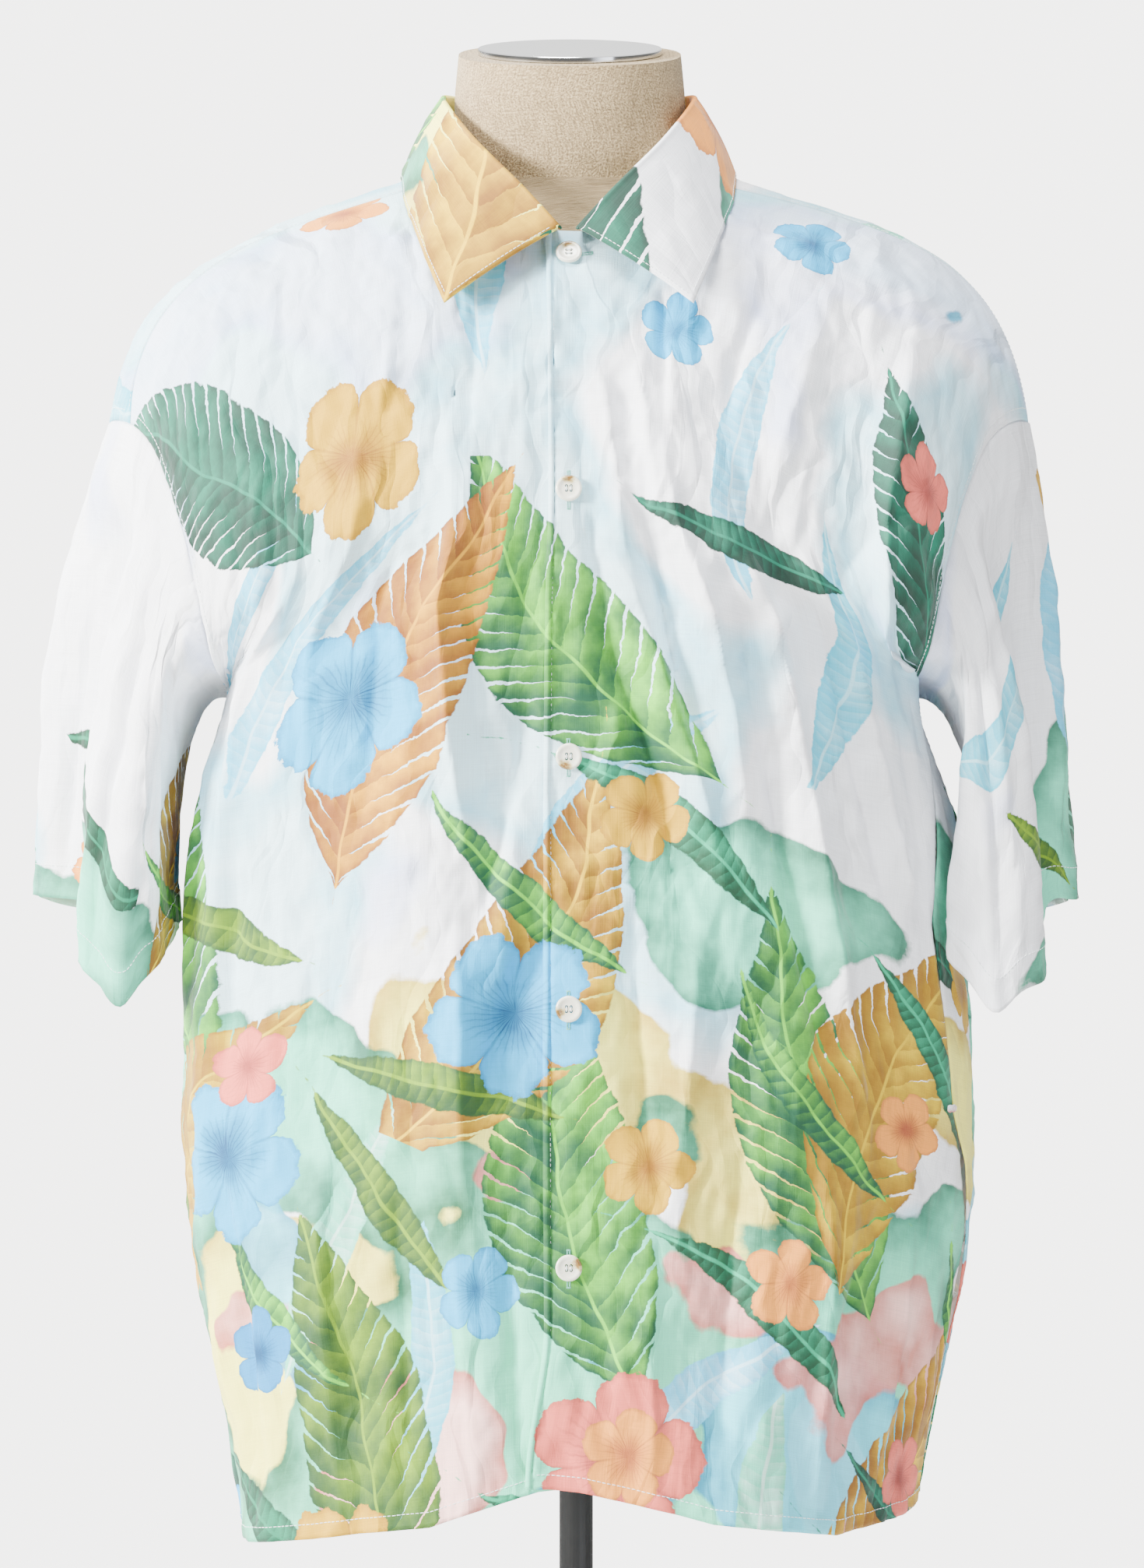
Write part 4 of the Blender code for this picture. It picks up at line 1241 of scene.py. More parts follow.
@dataclass(frozen=True)
class Scatter:
    """One screen of the print: a motif scattered in uneven cells.

    CELL and SIZE are in metres, TURN is the cells' angle, SPIN how far each motif may turn in its cell,
    FILLED the share of cells with a motif at the shoulder and at the hem, INKS the deep pigments and
    the pale ones. SHOULDER and FOOT are the heights between which the share changes.
    """

    motif: Motif
    cell: tuple[float, float]
    offset: tuple[float, float]
    turn: float
    spin: float
    size: tuple[float, float]
    filled: tuple[float, float]
    inks: tuple[tuple[str, ...], tuple[str, ...]]
    shoulder: float = -0.12
    foot: float = -0.66
    unevenness: float = 0.42

    def draw(self, add: Adder, at: Socket, rough: Socket, paint: Socket, ground: Value) -> Socket:
        """Prints the motif over the ground.

        Args:
            add: Adds one node to the material.
            at: The flat place in metres.
            rough: Noise from 0 to 1 that makes an edge uneven.
            paint: Noise from 0 to 1 that makes a tone uneven.
            ground: The colour so far.

        Returns:
            The colour with this screen on it.
        """
        turned = (0.0, 0.0, self.turn)
        placed = {"Location": (*self.offset, 0.0), "Rotation": turned, "Scale": (*self.cell, 1.0)}
        cells = add("Mapping", {"Vector": at, **placed}, vector_type="TEXTURE")
        spot = {"Vector": cells, "Scale": 1.0, "Randomness": self.unevenness}
        centre = add("TexVoronoi", spot, "Position", voronoi_dimensions="2D")
        draw = centre.node.outputs["Color"]
        away = add("VectorMath SUBTRACT", (cells, centre))
        local = add("VectorMath MULTIPLY", (away, (*self.cell, 0.0)))
        first, second, third = add("SeparateColor", (draw,)).node.outputs
        back = (math.sin(self.turn), math.cos(self.turn), 0.0)
        rise = add("VectorMath DOT_PRODUCT", (local, back), "Value")
        level = add("Math SUBTRACT", (add("SeparateXYZ", (at,), 1), rise))
        share = add("MapRange", (level, self.shoulder, self.foot, *self.filled))
        present = add("Math LESS_THAN", (third, share))
        angle = add("Math MULTIPLY_ADD", (first, self.spin, -self.spin / 2))
        turned = add("VectorRotate", {"Vector": local, "Angle": angle}, rotation_type="Z_AXIS")
        pigments = []
        for inks in self.inks:
            stops = [(k / len(inks), ink) for k, ink in enumerate(inks)]
            pigments.append(add("ValToRGB", (second,), ramp=stops))
            pigments[-1].node.color_ramp.interpolation = "CONSTANT"
        if self.motif is Motif.BLOSSOM:
            mask, tone = self.blossom(add, turned, rough, paint)
        else:
            mask, tone = self.leaf(add, turned, rough, paint, second)
        colour = add("Mix", {0: tone, 6: pigments[0], 7: pigments[1]}, 2, data_type="RGBA")
        inked = add("Math MULTIPLY", (mask, present))
        return add("Mix", {0: inked, 6: ground, 7: colour}, 2, data_type="RGBA")

    def leaf(
        self, add: Adder, at: Socket, rough: Socket, paint: Socket, chance: Socket
    ) -> tuple[Socket, Socket]:
        """A broad leaf with a midrib and side veins, or a narrow blade.

        Args:
            add: Adds one node to the material.
            at: The place from the leaf's middle, its length along Y.
            rough: Noise for its outline.
            paint: Noise for its tone.
            chance: The cell's own number, which bends it to one side.

        Returns:
            Where the leaf is (0 or 1) and its tone, from deep to pale.
        """
        half, long = self.size
        vein_pitch, vein_slope = (0.0125, 0.85) if self.motif is Motif.LEAF else (0.0060, 0.25)
        ragged, outline, dried_rim, midrib = 0.0052, 0.0007, 0.0030, (0.0006, 0.0013)
        x = add("SeparateXYZ", (at,))
        y = x.node.outputs[1]
        square = add("Math MULTIPLY", (y, y))
        bend = add("Math MULTIPLY_ADD", (chance, 0.55 / long, -0.27 / long))
        across = add("Math SUBTRACT", (x, add("Math MULTIPLY", (square, bend))))
        wide = add("Math ABSOLUTE", (across,))
        taper = add("MapRange", (square, 0.0, long * long, half, 0.0))
        body = add("Math MULTIPLY", (taper, add("MapRange", (y, -long, long, 1.28, 0.72))))
        edge = add("Math SUBTRACT", (body, wide))
        edge = add("Math MULTIPLY_ADD", (rough, ragged, edge))
        edge = add("Math SUBTRACT", (edge, ragged / 2))
        mask = add("MapRange", (edge, 0.0, outline, 0.0, 1.0))
        vein = add("Math MULTIPLY_ADD", (wide, -vein_slope, y))
        vein = add("Math MULTIPLY", (vein, 1 / vein_pitch))
        vein = add("Math MULTIPLY_ADD", (rough, 0.5, vein))
        vein = add("Math FRACT", (vein,))
        if self.motif is Motif.LEAF:
            open_to = add("MapRange", (add("Math DIVIDE", (wide, body)), 0.35, 1.0, 0.0, 0.20))
            slit = add("Math LESS_THAN", (vein, open_to))
            mask = add("Math MULTIPLY", (mask, add("Math SUBTRACT", (1.0, slit))))
        side = add("MapRange", (across, -0.001, 0.001, 0.0, 0.22))
        tone = add("Math MULTIPLY_ADD", (vein, 0.42, side))
        tone = add("Math MULTIPLY_ADD", (paint, 0.75, tone))
        pooled = add("MapRange", (edge, 0.0, dried_rim, 0.60, 0.22))
        tone = add("Math SUBTRACT", (tone, pooled), use_clamp=True)
        tone = add("Math POWER", (tone, 1.7))
        rib = add("MapRange", (wide, *midrib, 1.0, 0.0))
        return mask, add("Math MAXIMUM", (tone, rib), use_clamp=True)

    def blossom(self, add: Adder, at: Socket, rough: Socket, paint: Socket) -> tuple[Socket, Socket]:
        """A blossom of five wide petals, veined from a deep eye.

        Args:
            add: Adds one node to the material.
            at: The place from the blossom's eye.
            rough: Noise for its outline.
            paint: Noise for its tone.

        Returns:
            Where the blossom is (0 or 1) and its tone, from deep to pale.
        """
        reach = self.size[0]
        petals, veins = 5, 34
        x = add("SeparateXYZ", (at,))
        angle = add("Math ARCTAN2", (x.node.outputs[1], x))
        far = add("VectorMath LENGTH", (at,), "Value")
        wave = add("Math MULTIPLY", (angle, petals / 2))
        wave = add("Math ABSOLUTE", (add("Math COSINE", (wave,)),))
        lobe = add("Math POWER", (wave, 0.45))
        rim = add("Math MULTIPLY_ADD", (lobe, reach * 0.40, reach * 0.46))
        rim = add("Math MULTIPLY_ADD", (rough, reach * 0.26, rim))
        share = add("Math DIVIDE", (far, rim))
        mask = add("MapRange", (share, 0.985, 1.0, 1.0, 0.0))
        grow = add("MapRange", (share, 0.10, 0.62, 0.0, 0.85))
        spokes = add("Math MULTIPLY", (angle, float(veins)))
        spokes = add("Math MULTIPLY_ADD", (rough, 7.0, spokes))
        spokes = add("MapRange", (add("Math SINE", (spokes,)), 0.55, 1.0, 0.0, 0.30))
        fade = add("MapRange", (share, 0.45, 0.95, 1.0, 0.0))
        spokes = add("Math MULTIPLY", (spokes, fade))
        parting = add("MapRange", (wave, 0.0, 0.16, 0.45, 0.0))
        pooled = add("MapRange", (share, 0.90, 0.985, 0.0, 0.42))
        tone = add("Math MULTIPLY_ADD", (paint, 0.55, grow))
        for less in (spokes, parting, pooled):
            tone = add("Math SUBTRACT", (tone, less), use_clamp=True)
        return mask, tone


@dataclass(frozen=True)
class Wash:
    """A pool of pigment BROAD metres across, deep at its dried rim and paler inside.

    REACH holds two heights and how far the wash may spread at each. SOFT is the width of its edge and
    BLEED the noise values over which the pigment pales.
    """

    deep: str
    pale: str
    broad: float
    seed: float
    level: float
    strength: float
    reach: tuple[float, float, float, float]
    soft: float = 0.006
    bleed: tuple[float, float] = (0.020, 0.105)
    dry: float = 0.80

    def draw(self, add: Adder, at: Socket, rough: Socket, paint: Socket, ground: Value) -> Socket:
        """Lays the wash over the ground.

        Args:
            add: Adds one node to the material.
            at: The flat place in metres.
            rough: Noise from 0 to 1 that makes its edge uneven.
            paint: Noise from 0 to 1 that makes a tone uneven.
            ground: The colour so far.

        Returns:
            The colour with the wash on it.
        """
        look = {"Vector": at, "W": self.seed, "Scale": 1 / self.broad, "Detail": 3.0, "Roughness": 0.40}
        pool = add("TexNoise", look, noise_dimensions="4D")
        held = add("MapRange", (add("SeparateXYZ", (at,), 1), *self.reach))
        need = add("MapRange", {"Value": held, 3: self.dry, 4: self.level})
        inside = add("Math SUBTRACT", (pool, need))
        inside = add("Math MULTIPLY_ADD", (rough, 0.012, inside))
        amount = add("MapRange", (inside, 0.0, self.soft, 0.0, self.strength))
        thin = add("Math MULTIPLY_ADD", (paint, 0.050, inside))
        tone = add("MapRange", (thin, *self.bleed, 0.0, 1.0))
        pigment = add("Mix", {0: tone, 6: linear(self.deep), 7: linear(self.pale)}, 2, data_type="RGBA")
        return add("Mix", {0: amount, 6: ground, 7: pigment}, 2, data_type="RGBA")


# Deep pigments, then pale ones.
GREENS = (
    ("#093421", "#0A4229", "#1D471A", "#062F23", "#074A2E"),
    ("#0A7A58", "#14A87C", "#6F9608", "#08745A", "#6CC838"),
)
OCHRES = (("#815303", "#855903", "#844B0F", "#8D6303"), ("#E8BC10", "#C79A06", "#DA9C10", "#D2B008"))
BLOOMS = (
    ("#7B2B29", "#875303", "#034572", "#893A23", "#034572"),
    ("#DE6A5C", "#C79A06", "#0A88C8", "#E89438", "#14AEE8"),
)
MISTS = (("#46BCD8", "#62D0B0", "#58C0E4"), ("#A6E0EE", "#B8E8D8", "#AEDEF2"))
SCREENS = [
    Wash("#4FC4E0", "#BFE9F4", 0.230, 1.3, 0.50, 0.80, (-0.66, -0.10, 0.6, 1.0), 0.030),
    Wash("#AFC0EE", "#DCE3F8", 0.170, 4.1, 0.53, 0.70, (-0.50, -0.10, 0.4, 1.0), 0.040),
    Wash("#B89A04", "#F6F06A", 0.170, 2.6, 0.50, 0.95, (-0.56, -0.38, 1.0, 0.0)),
    Wash("#02654A", "#62DCB6", 0.160, 5.8, 0.50, 0.97, (-0.46, -0.30, 1.0, 0.0)),
    Wash("#0680A8", "#62D2EA", 0.130, 7.7, 0.56, 0.92, (-0.72, -0.40, 1.0, 0.3)),
    Wash("#BE625A", "#F8C2BC", 0.130, 6.4, 0.56, 0.95, (-0.72, -0.44, 1.0, 0.0)),
    Scatter(Motif.BLADE, (0.100, 0.230), (0.31, 0.12), -0.55, 0.9, (0.014, 0.088), (0.15, 0.60), MISTS),
    Scatter(Motif.LEAF, (0.150, 0.270), (0.07, 0.19), 0.42, 0.8, (0.041, 0.116), (0.06, 0.84), GREENS),
    Scatter(Motif.LEAF, (0.165, 0.285), (0.23, 0.02), -0.75, 0.8, (0.043, 0.118), (0.03, 0.60), OCHRES),
    Scatter(Motif.BLADE, (0.086, 0.190), (0.15, 0.33), 0.95, 1.0, (0.011, 0.074), (0.04, 0.80), GREENS),
    Scatter(Motif.BLOSSOM, (0.190, 0.190), (0.11, 0.06), 0.35, 6.28, (0.046, 0.046), (0.03, 0.42), BLOOMS),
    Scatter(Motif.BLOSSOM, (0.115, 0.115), (0.02, 0.27), 0.90, 6.28, (0.024, 0.024), (0.08, 0.40), BLOOMS),
]


@dataclass(frozen=True)
class PrintedLawn(Finish):
    """Cotton lawn, plain woven from slightly uneven yarn and printed with reactive dye.

    The eye gets a matt cloth with a faint silky sheen, short thick places in the yarn, soft-edged pools of
    dye and leaves and blossoms with darker dried rims. The reverse shows the same print paler. The yarns
    are drawn at 0.55 mm where the real ones are about 0.25 mm, so that they show. The washed-in wrinkles
    too fine for the mesh are two sets of facets, WRINKLES: width and height in mm, lean, depth in metres.
    """

    reverse: bool = False
    ground: str = "#F1F3F8"
    bare: str = "#E9EEF1"
    thread_mm: float = 0.55
    slub_mm: float = 26.0
    drift_mm: float = 1000 / 16
    ragged_mm: float = 1000 / 130
    brushed_mm: float = 1000 / 34
    wrinkles: Rows = ((36.0, 140.0, 0.30, 0.0056), (24.0, 62.0, -0.35, 0.0020))

    def nodes(self, add: Adder) -> Inputs:
        """Adds the print, the weave and the wrinkles.

        Args:
            add: Adds one node to the material.

        Returns:
            What the Principled shader's inputs take.
        """
        at = add("UVMap", uv_map="flat")
        drift = add("TexNoise", {"Vector": at, "Scale": 1000 / self.drift_mm, "Detail": 2.0}, "Color")
        away = add("VectorMath SUBTRACT", (drift, (0.5, 0.5, 0.5)))
        hand, bent = (
            add("VectorMath ADD", (at, add("VectorMath SCALE", {0: away, "Scale": far})))
            for far in (0.016, 0.060)
        )
        rough = {"Vector": at, "Scale": 1000 / self.ragged_mm, "Detail": 4.0, "Roughness": 0.6}
        rough = add("TexNoise", rough)
        paint = {"Vector": at, "Scale": 1000 / self.brushed_mm, "Detail": 5.0, "Roughness": 0.55}
        paint = add("MapRange", (add("TexNoise", paint), 0.32, 0.68, 0.0, 1.0))
        colour: Value = linear(self.ground)
        for screen in SCREENS:
            colour = screen.draw(add, hand, rough, paint, colour)
        thread, slub = 1000 / self.thread_mm, 1000 / self.slub_mm
        across, along = (
            add(
                "TexNoise",
                {"Vector": add("Mapping", {"Vector": at, "Scale": scale}), "Scale": 1.0, "Detail": 2.0},
            )
            for scale in ((slub, thread, 1.0), (thread, slub, 1.0))
        )
        yarns = add("Math ADD", (across, along))
        shade = add("MapRange", (yarns, 0.70, 1.30, 0.90, 1.05))
        grey = add("CombineColor", (shade, shade, shade))
        colour = add("Mix", {0: 1.0, 6: colour, 7: grey}, 2, data_type="RGBA", blend_type="MULTIPLY")
        if self.reverse:
            colour = add("Mix", {0: 0.52, 6: colour, 7: linear(self.bare)}, 2, data_type="RGBA")
        dent: Inputs = {}
        look = {"voronoi_dimensions": "2D", "feature": "DISTANCE_TO_EDGE"}
        for wide_mm, tall_mm, lean, deep in self.wrinkles:
            cut = {"Rotation": (0.0, 0.0, lean), "Scale": (1000 / wide_mm, 1000 / tall_mm, 1.0)}
            facet = add("Mapping", {"Vector": bent, **cut})
            ridge = add("TexVoronoi", {"Vector": facet, "Scale": 1.0}, "Distance", **look)
            dent = {"Normal": add("Bump", {"Height": ridge, "Strength": 1.0, "Distance": deep, **dent})}
        weave = add("Bump", {"Height": yarns, "Strength": 0.30, "Distance": 0.0005, **dent})
        sheen = {"Sheen Weight": 0.12, "Sheen Roughness": 0.45}
        return {"Base Color": colour, "Roughness": 0.74, "IOR": 1.46, **sheen, "Normal": weave}


@dataclass(frozen=True)
class CottonThread(Finish):
    """Mercerised cotton sewing thread, twisted and dyed.

    The eye gets a fine round line, paler than the cloth, with a soft shine on its upper side.
    """

    colour: str = "#EDF3F4"
    shade: str = "#C9D6D8"
    twist_mm: float = 0.9

    def nodes(self, add: Adder) -> Inputs:
        """Adds the twist.

        Args:
            add: Adds one node to the material.

        Returns:
            What the Principled shader's inputs take.
        """
        at = add("TexCoord", output="Object")
        twist = add("TexNoise", {"Vector": at, "Scale": 1000 / self.twist_mm, "Detail": 1.0})
        colour = add("ValToRGB", (twist,), ramp=[(0.30, self.shade), (0.62, self.colour)])
        bump = add("Bump", {"Height": twist, "Strength": 0.4, "Distance": 0.0002})
        return {"Base Color": colour, "Roughness": 0.55, "IOR": 1.46, "Normal": bump}


@dataclass(frozen=True)
class PolyesterShell(Finish):
    """Cast polyester made to look like horn and river shell, turned and tumbled.

    The eye gets a creamy translucent face with smoky amber clouds and a soft polish.
    """

    pearl: str = "#E6E6DA"
    cream: str = "#D9D8C6"
    straw: str = "#B7A878"
    amber: str = "#7A5A26"
    brown: str = "#56390F"
    smoky_edge: float = 0.0062
    cloud_mm: float = 1000 / 260
    grain_mm: float = 1000 / 900

    def nodes(self, add: Adder) -> Inputs:
        """Adds the clouds and the fine grain.

        Args:
            add: Adds one node to the material.

        Returns:
            What the Principled shader's inputs take.
        """
        at = add("TexCoord", output="Object")
        plane = add("UVMap", uv_map="flat")
        look = {"Vector": at, "Scale": 1000 / self.cloud_mm, "Detail": 3.0, "Roughness": 0.6}
        clouds = add("TexNoise", look)
        smoke = add("VectorMath DISTANCE", (plane, (0.0, self.smoky_edge, 0.0)), "Value")
        near = add("MapRange", (smoke, 0.0065, 0.0, 0.0, 0.52))
        cloud = add("Math MULTIPLY_ADD", (clouds, 0.55, near))
        tints = (self.pearl, self.cream, self.straw, self.amber, self.brown)
        colour = add("ValToRGB", (cloud,), ramp=list(zip((0.0, 0.46, 0.58, 0.66, 1.0), tints)))
        grain = add("TexNoise", {"Vector": at, "Scale": 1000 / self.grain_mm, "Detail": 2.0})
        bump = add("Bump", {"Height": grain, "Strength": 0.12, "Distance": 0.0002})
        deep = {"Subsurface Weight": 0.15, "Subsurface Radius": (0.002, 0.0014, 0.0008)}
        polish = {"Roughness": 0.24, "IOR": 1.54, "Coat Weight": 0.35, "Coat Roughness": 0.12}
        return {"Base Color": colour, **deep, **polish, "Normal": bump}


@dataclass(frozen=True)
class LinenWeave(Finish):
    """Unbleached linen canvas stretched and glued over the form.

    The eye gets a fine dry grain of pale and brown yarn ends with longer slubs running down the neck,
    fully matt with faint lint. The grain is drawn at 1.1 mm where the real yarns are about 0.5 mm, so
    that it shows.
    """

    dark: str = "#6E5C42"
    middle: str = "#96815D"
    light: str = "#BDA77F"
    grain_mm: float = 1.1
    slub_mm: float = 16.0

    def nodes(self, add: Adder) -> Inputs:
        """Adds the yarns.

        Args:
            add: Adds one node to the material.

        Returns:
            What the Principled shader's inputs take.
        """
        at = add("UVMap", uv_map="flat")
        fine, long = 1000 / self.grain_mm, 1000 / self.slub_mm
        down, across = (
            add(
                "TexNoise",
                {"Vector": add("Mapping", {"Vector": at, "Scale": scale}), "Scale": 1.0, "Detail": 1.0},
            )
            for scale in ((fine, long, 1.0), (long, fine, 1.0))
        )
        grain = add("TexNoise", {"Vector": at, "Scale": fine, "Detail": 2.0, "Roughness": 0.7})
        yarns: Value = 0.0
        for part, weight in ((down, 0.30), (across, 0.16), (grain, 1.0)):
            yarns = add("Math MULTIPLY_ADD", (part, weight, yarns))
        tone = add("MapRange", (yarns, 0.52, 0.93, 0.0, 1.0))
        colour = add("ValToRGB", (tone,), ramp=[(0.10, self.dark), (0.50, self.middle), (0.92, self.light)])
        bump = add("Bump", {"Height": tone, "Strength": 0.45, "Distance": 0.0005})
        return {"Base Color": colour, "Roughness": 0.88, "IOR": 1.50, "Sheen Weight": 0.10, "Normal": bump}


@dataclass(frozen=True)
class SpunSteel(Finish):
    """Stainless steel, its top spun to a satin face and its rim polished.

    The eye gets a pale grey disc with very fine rings and a bright dark-and-light line round the edge.
    """

    centre: tuple[float, float, float]
    polished_from: float
    ring_mm: float = 1000 / 2600
    polish_edge: float = 0.0008

    def nodes(self, add: Adder) -> Inputs:
        """Adds the spun rings.

        Args:
            add: Adds one node to the material.

        Returns:
            What the Principled shader's inputs take.
        """
        local = add("VectorMath SUBTRACT", (add("TexCoord", output="Object"), self.centre))
        far = add("VectorMath LENGTH", (local,), "Value")
        rings = add("Math MULTIPLY", (far, 1000 / self.ring_mm))
        spun = add("TexNoise", {"W": rings, "Scale": 1.0, "Detail": 2.0}, noise_dimensions="1D")
        colour = add("ValToRGB", (spun,), ramp=[(0.2, "#B9BBBC"), (0.8, "#D3D4D4")])
        start = self.polished_from
        rough = add("MapRange", (far, start, start + self.polish_edge, 0.42, 0.12))
        bump = add("Bump", {"Height": spun, "Strength": 0.10, "Distance": 0.0002})
        return {"Base Color": colour, "Roughness": rough, "Metallic": 1.0, "Normal": bump}


@dataclass(frozen=True)
class BlackPowderCoat(Finish):
    """Steel with a satin black powder coat, baked on.

    The eye gets a near-black surface with a broad soft highlight and a barely visible orange-peel.
    """

    colour: str = "#0C0E11"
    dusty: str = "#15181C"
    peel_mm: float = 0.8
    dust_mm: float = 1000 / 22

    def nodes(self, add: Adder) -> Inputs:
        """Adds the orange-peel and a trace of dust.

        Args:
            add: Adds one node to the material.

        Returns:
            What the Principled shader's inputs take.
        """
        at = add("TexCoord", output="Object")
        peel = add("TexNoise", {"Vector": at, "Scale": 1000 / self.peel_mm, "Detail": 1.5})
        dust = add("TexNoise", {"Vector": at, "Scale": 1000 / self.dust_mm, "Detail": 4.0})
        colour = add("ValToRGB", (dust,), ramp=[(0.35, self.colour), (0.75, self.dusty)])
        rough = add("MapRange", (dust, 0.3, 0.7, 0.34, 0.44))
        bump = add("Bump", {"Height": peel, "Strength": 0.10, "Distance": 0.0002})
        return {"Base Color": colour, "Roughness": rough, "IOR": 1.50, "Normal": bump}


@dataclass(frozen=True)
class PaleFloor(Finish):
    """Smooth studio paper, rolled out and matt.

    The eye gets an even pale ground with a soft shadow.
    """

    colour: str = "#ECEBE8"
    light: str = "#F1F0ED"
    mottle_mm: float = 1000 / 3

    def nodes(self, add: Adder) -> Inputs:
        """Adds a faint mottle.

        Args:
            add: Adds one node to the material.

        Returns:
            What the Principled shader's inputs take.
        """
        at = add("TexCoord", output="Object")
        mottle = add("TexNoise", {"Vector": at, "Scale": 1000 / self.mottle_mm, "Detail": 3.0})
        colour = add("ValToRGB", (mottle,), ramp=[(0.3, self.colour), (0.7, self.light)])
        return {"Base Color": colour, "Roughness": 0.9}


class Finishes:
    """All materials of the shirt, the form and the stand."""

    def __init__(self) -> None:
        """Builds every material once."""
        low, high = (Vector(corner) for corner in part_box("neck_cap"))
        rim = (high.x - low.x) / 2 - 0.0009
        self.face = PrintedLawn("lawn_printed").build()
        self.reverse = PrintedLawn("lawn_reverse", reverse=True).build()
        self.thread = CottonThread("thread_cotton").build()
        self.hole_thread = CottonThread("thread_buttonhole", "#7FC6B6", "#4FA08E").build()
        self.shell = PolyesterShell("button_polyester").build()
        self.linen = LinenWeave("form_linen_weave").build()
        self.steel = SpunSteel("cap_spun_steel", tuple((low + high) / 2), rim).build()
        self.black = BlackPowderCoat("stand_powder_coat").build()


# The shirt's pieces.


@dataclass
class ShirtBody:
    """The two fronts and the back, with their hems, front edge and topstitching.

    The stitch fields are distances from an edge, the line fields how finely a seam is followed.
    """

    finishes: Finishes
    drape: Drape
    wall: float = 0.00085
    back_step: float = 0.0034
    edge_stitch: float = 0.0033
    hem_stitch: float = 0.0074
    seam_stitch: float = 0.0060
    long_line: int = 1200
    hem_line: int = 700
    armhole_line: int = 500
    shoulder_line: int = 400
    front_flat: tuple[float, float] = (0.320, 0.785)
    front_area: float = 0.213
    back_flat: tuple[float, float] = (0.660, 0.845)
    back_area: float = 0.470

    def front(self, name: str, side: Side, layer: float) -> tuple[Panel, BodyPanel]:
        """Makes one front and sews its edge, its hem and its armhole's edge.

        Args:
            name: The CAD node's name.
            side: Which half it is on.
            layer: How far it lies in front of the overlap's middle.

        Returns:
            Its grid and its description.
        """
        cut = BodyPanel(side, self.drape, FRONT_CREASES, True, layer)
        grid = cut.build()
        piece = Shell(name + "_cloth", self.wall, (self.finishes.face, self.finishes.reverse)).build(grid)
        work = ThreadWork()
        rows, columns = grid.points.shape[:2]
        if layer > 0:
            edge = np.interp(self.edge_stitch - OVERLAP, cut.column_metres(), np.arange(columns))
            work.seam(grid, np.linspace(1.0, rows - 2.0, self.long_line), edge, self.wall / 2)
        hem_row = rows - 1 - self.hem_stitch / cut.row_step
        work.seam(grid, hem_row, np.linspace(0.5, columns - 2.5, self.hem_line), self.wall / 2)
        armhole = np.linspace(2.0, round(UNDERARM / cut.step) - 3.0, self.armhole_line)
        work.seam(grid, armhole, columns - 1 - self.seam_stitch / cut.column_step, self.wall / 2)
        sewn = work.build("stitches_" + name, self.finishes.thread)
        settle([piece, sewn], name)
        LOG.info("%s: %d points", name, rows * columns)
        return grid, cut

    def back(self) -> None:
        """Makes the back from its two halves and sews its hem, armholes and shoulders."""
        cut = BodyPanel(LEFT_HALF, self.drape, BACK_CREASES, False, step=self.back_step)
        left, right = cut.build(), replace(cut, side=RIGHT_HALF).build()
        points, normals, flat = (
            np.concatenate([b[:, :0:-1], a], axis=1)
            for a, b in ((left.points, right.points), (left.normals, right.normals), (left.flat, right.flat))
        )
        grid = Panel(points, unit(normals), flat)
        piece = Shell("back_cloth", self.wall, (self.finishes.face, self.finishes.reverse)).build(grid)
        work = ThreadWork()
        rows, columns = points.shape[:2]
        half = columns // 2
        hem_row = rows - 1 - self.hem_stitch / cut.row_step
        work.seam(grid, hem_row, np.linspace(2.0, columns - 3.0, self.long_line), self.wall / 2)
        armhole = np.linspace(2.0, rows - (HEM - UNDERARM) / cut.row_step - 3.0, self.armhole_line)
        inset = self.seam_stitch / cut.column_step
        neck = round(NECK_HALF * NECK_FINER / cut.step)
        for sign in (-1, 1):
            work.seam(grid, armhole, half + sign * (half - inset), self.wall / 2)
            shoulder = np.linspace(half + sign * (neck + 3.0), half + sign * (half - 2.0), self.shoulder_line)
            work.seam(grid, 0.5, shoulder, self.wall / 2)
        sewn = work.build("stitches_back", self.finishes.thread)
        settle([piece, sewn], "back")
        LOG.info("back: %d points", rows * columns)


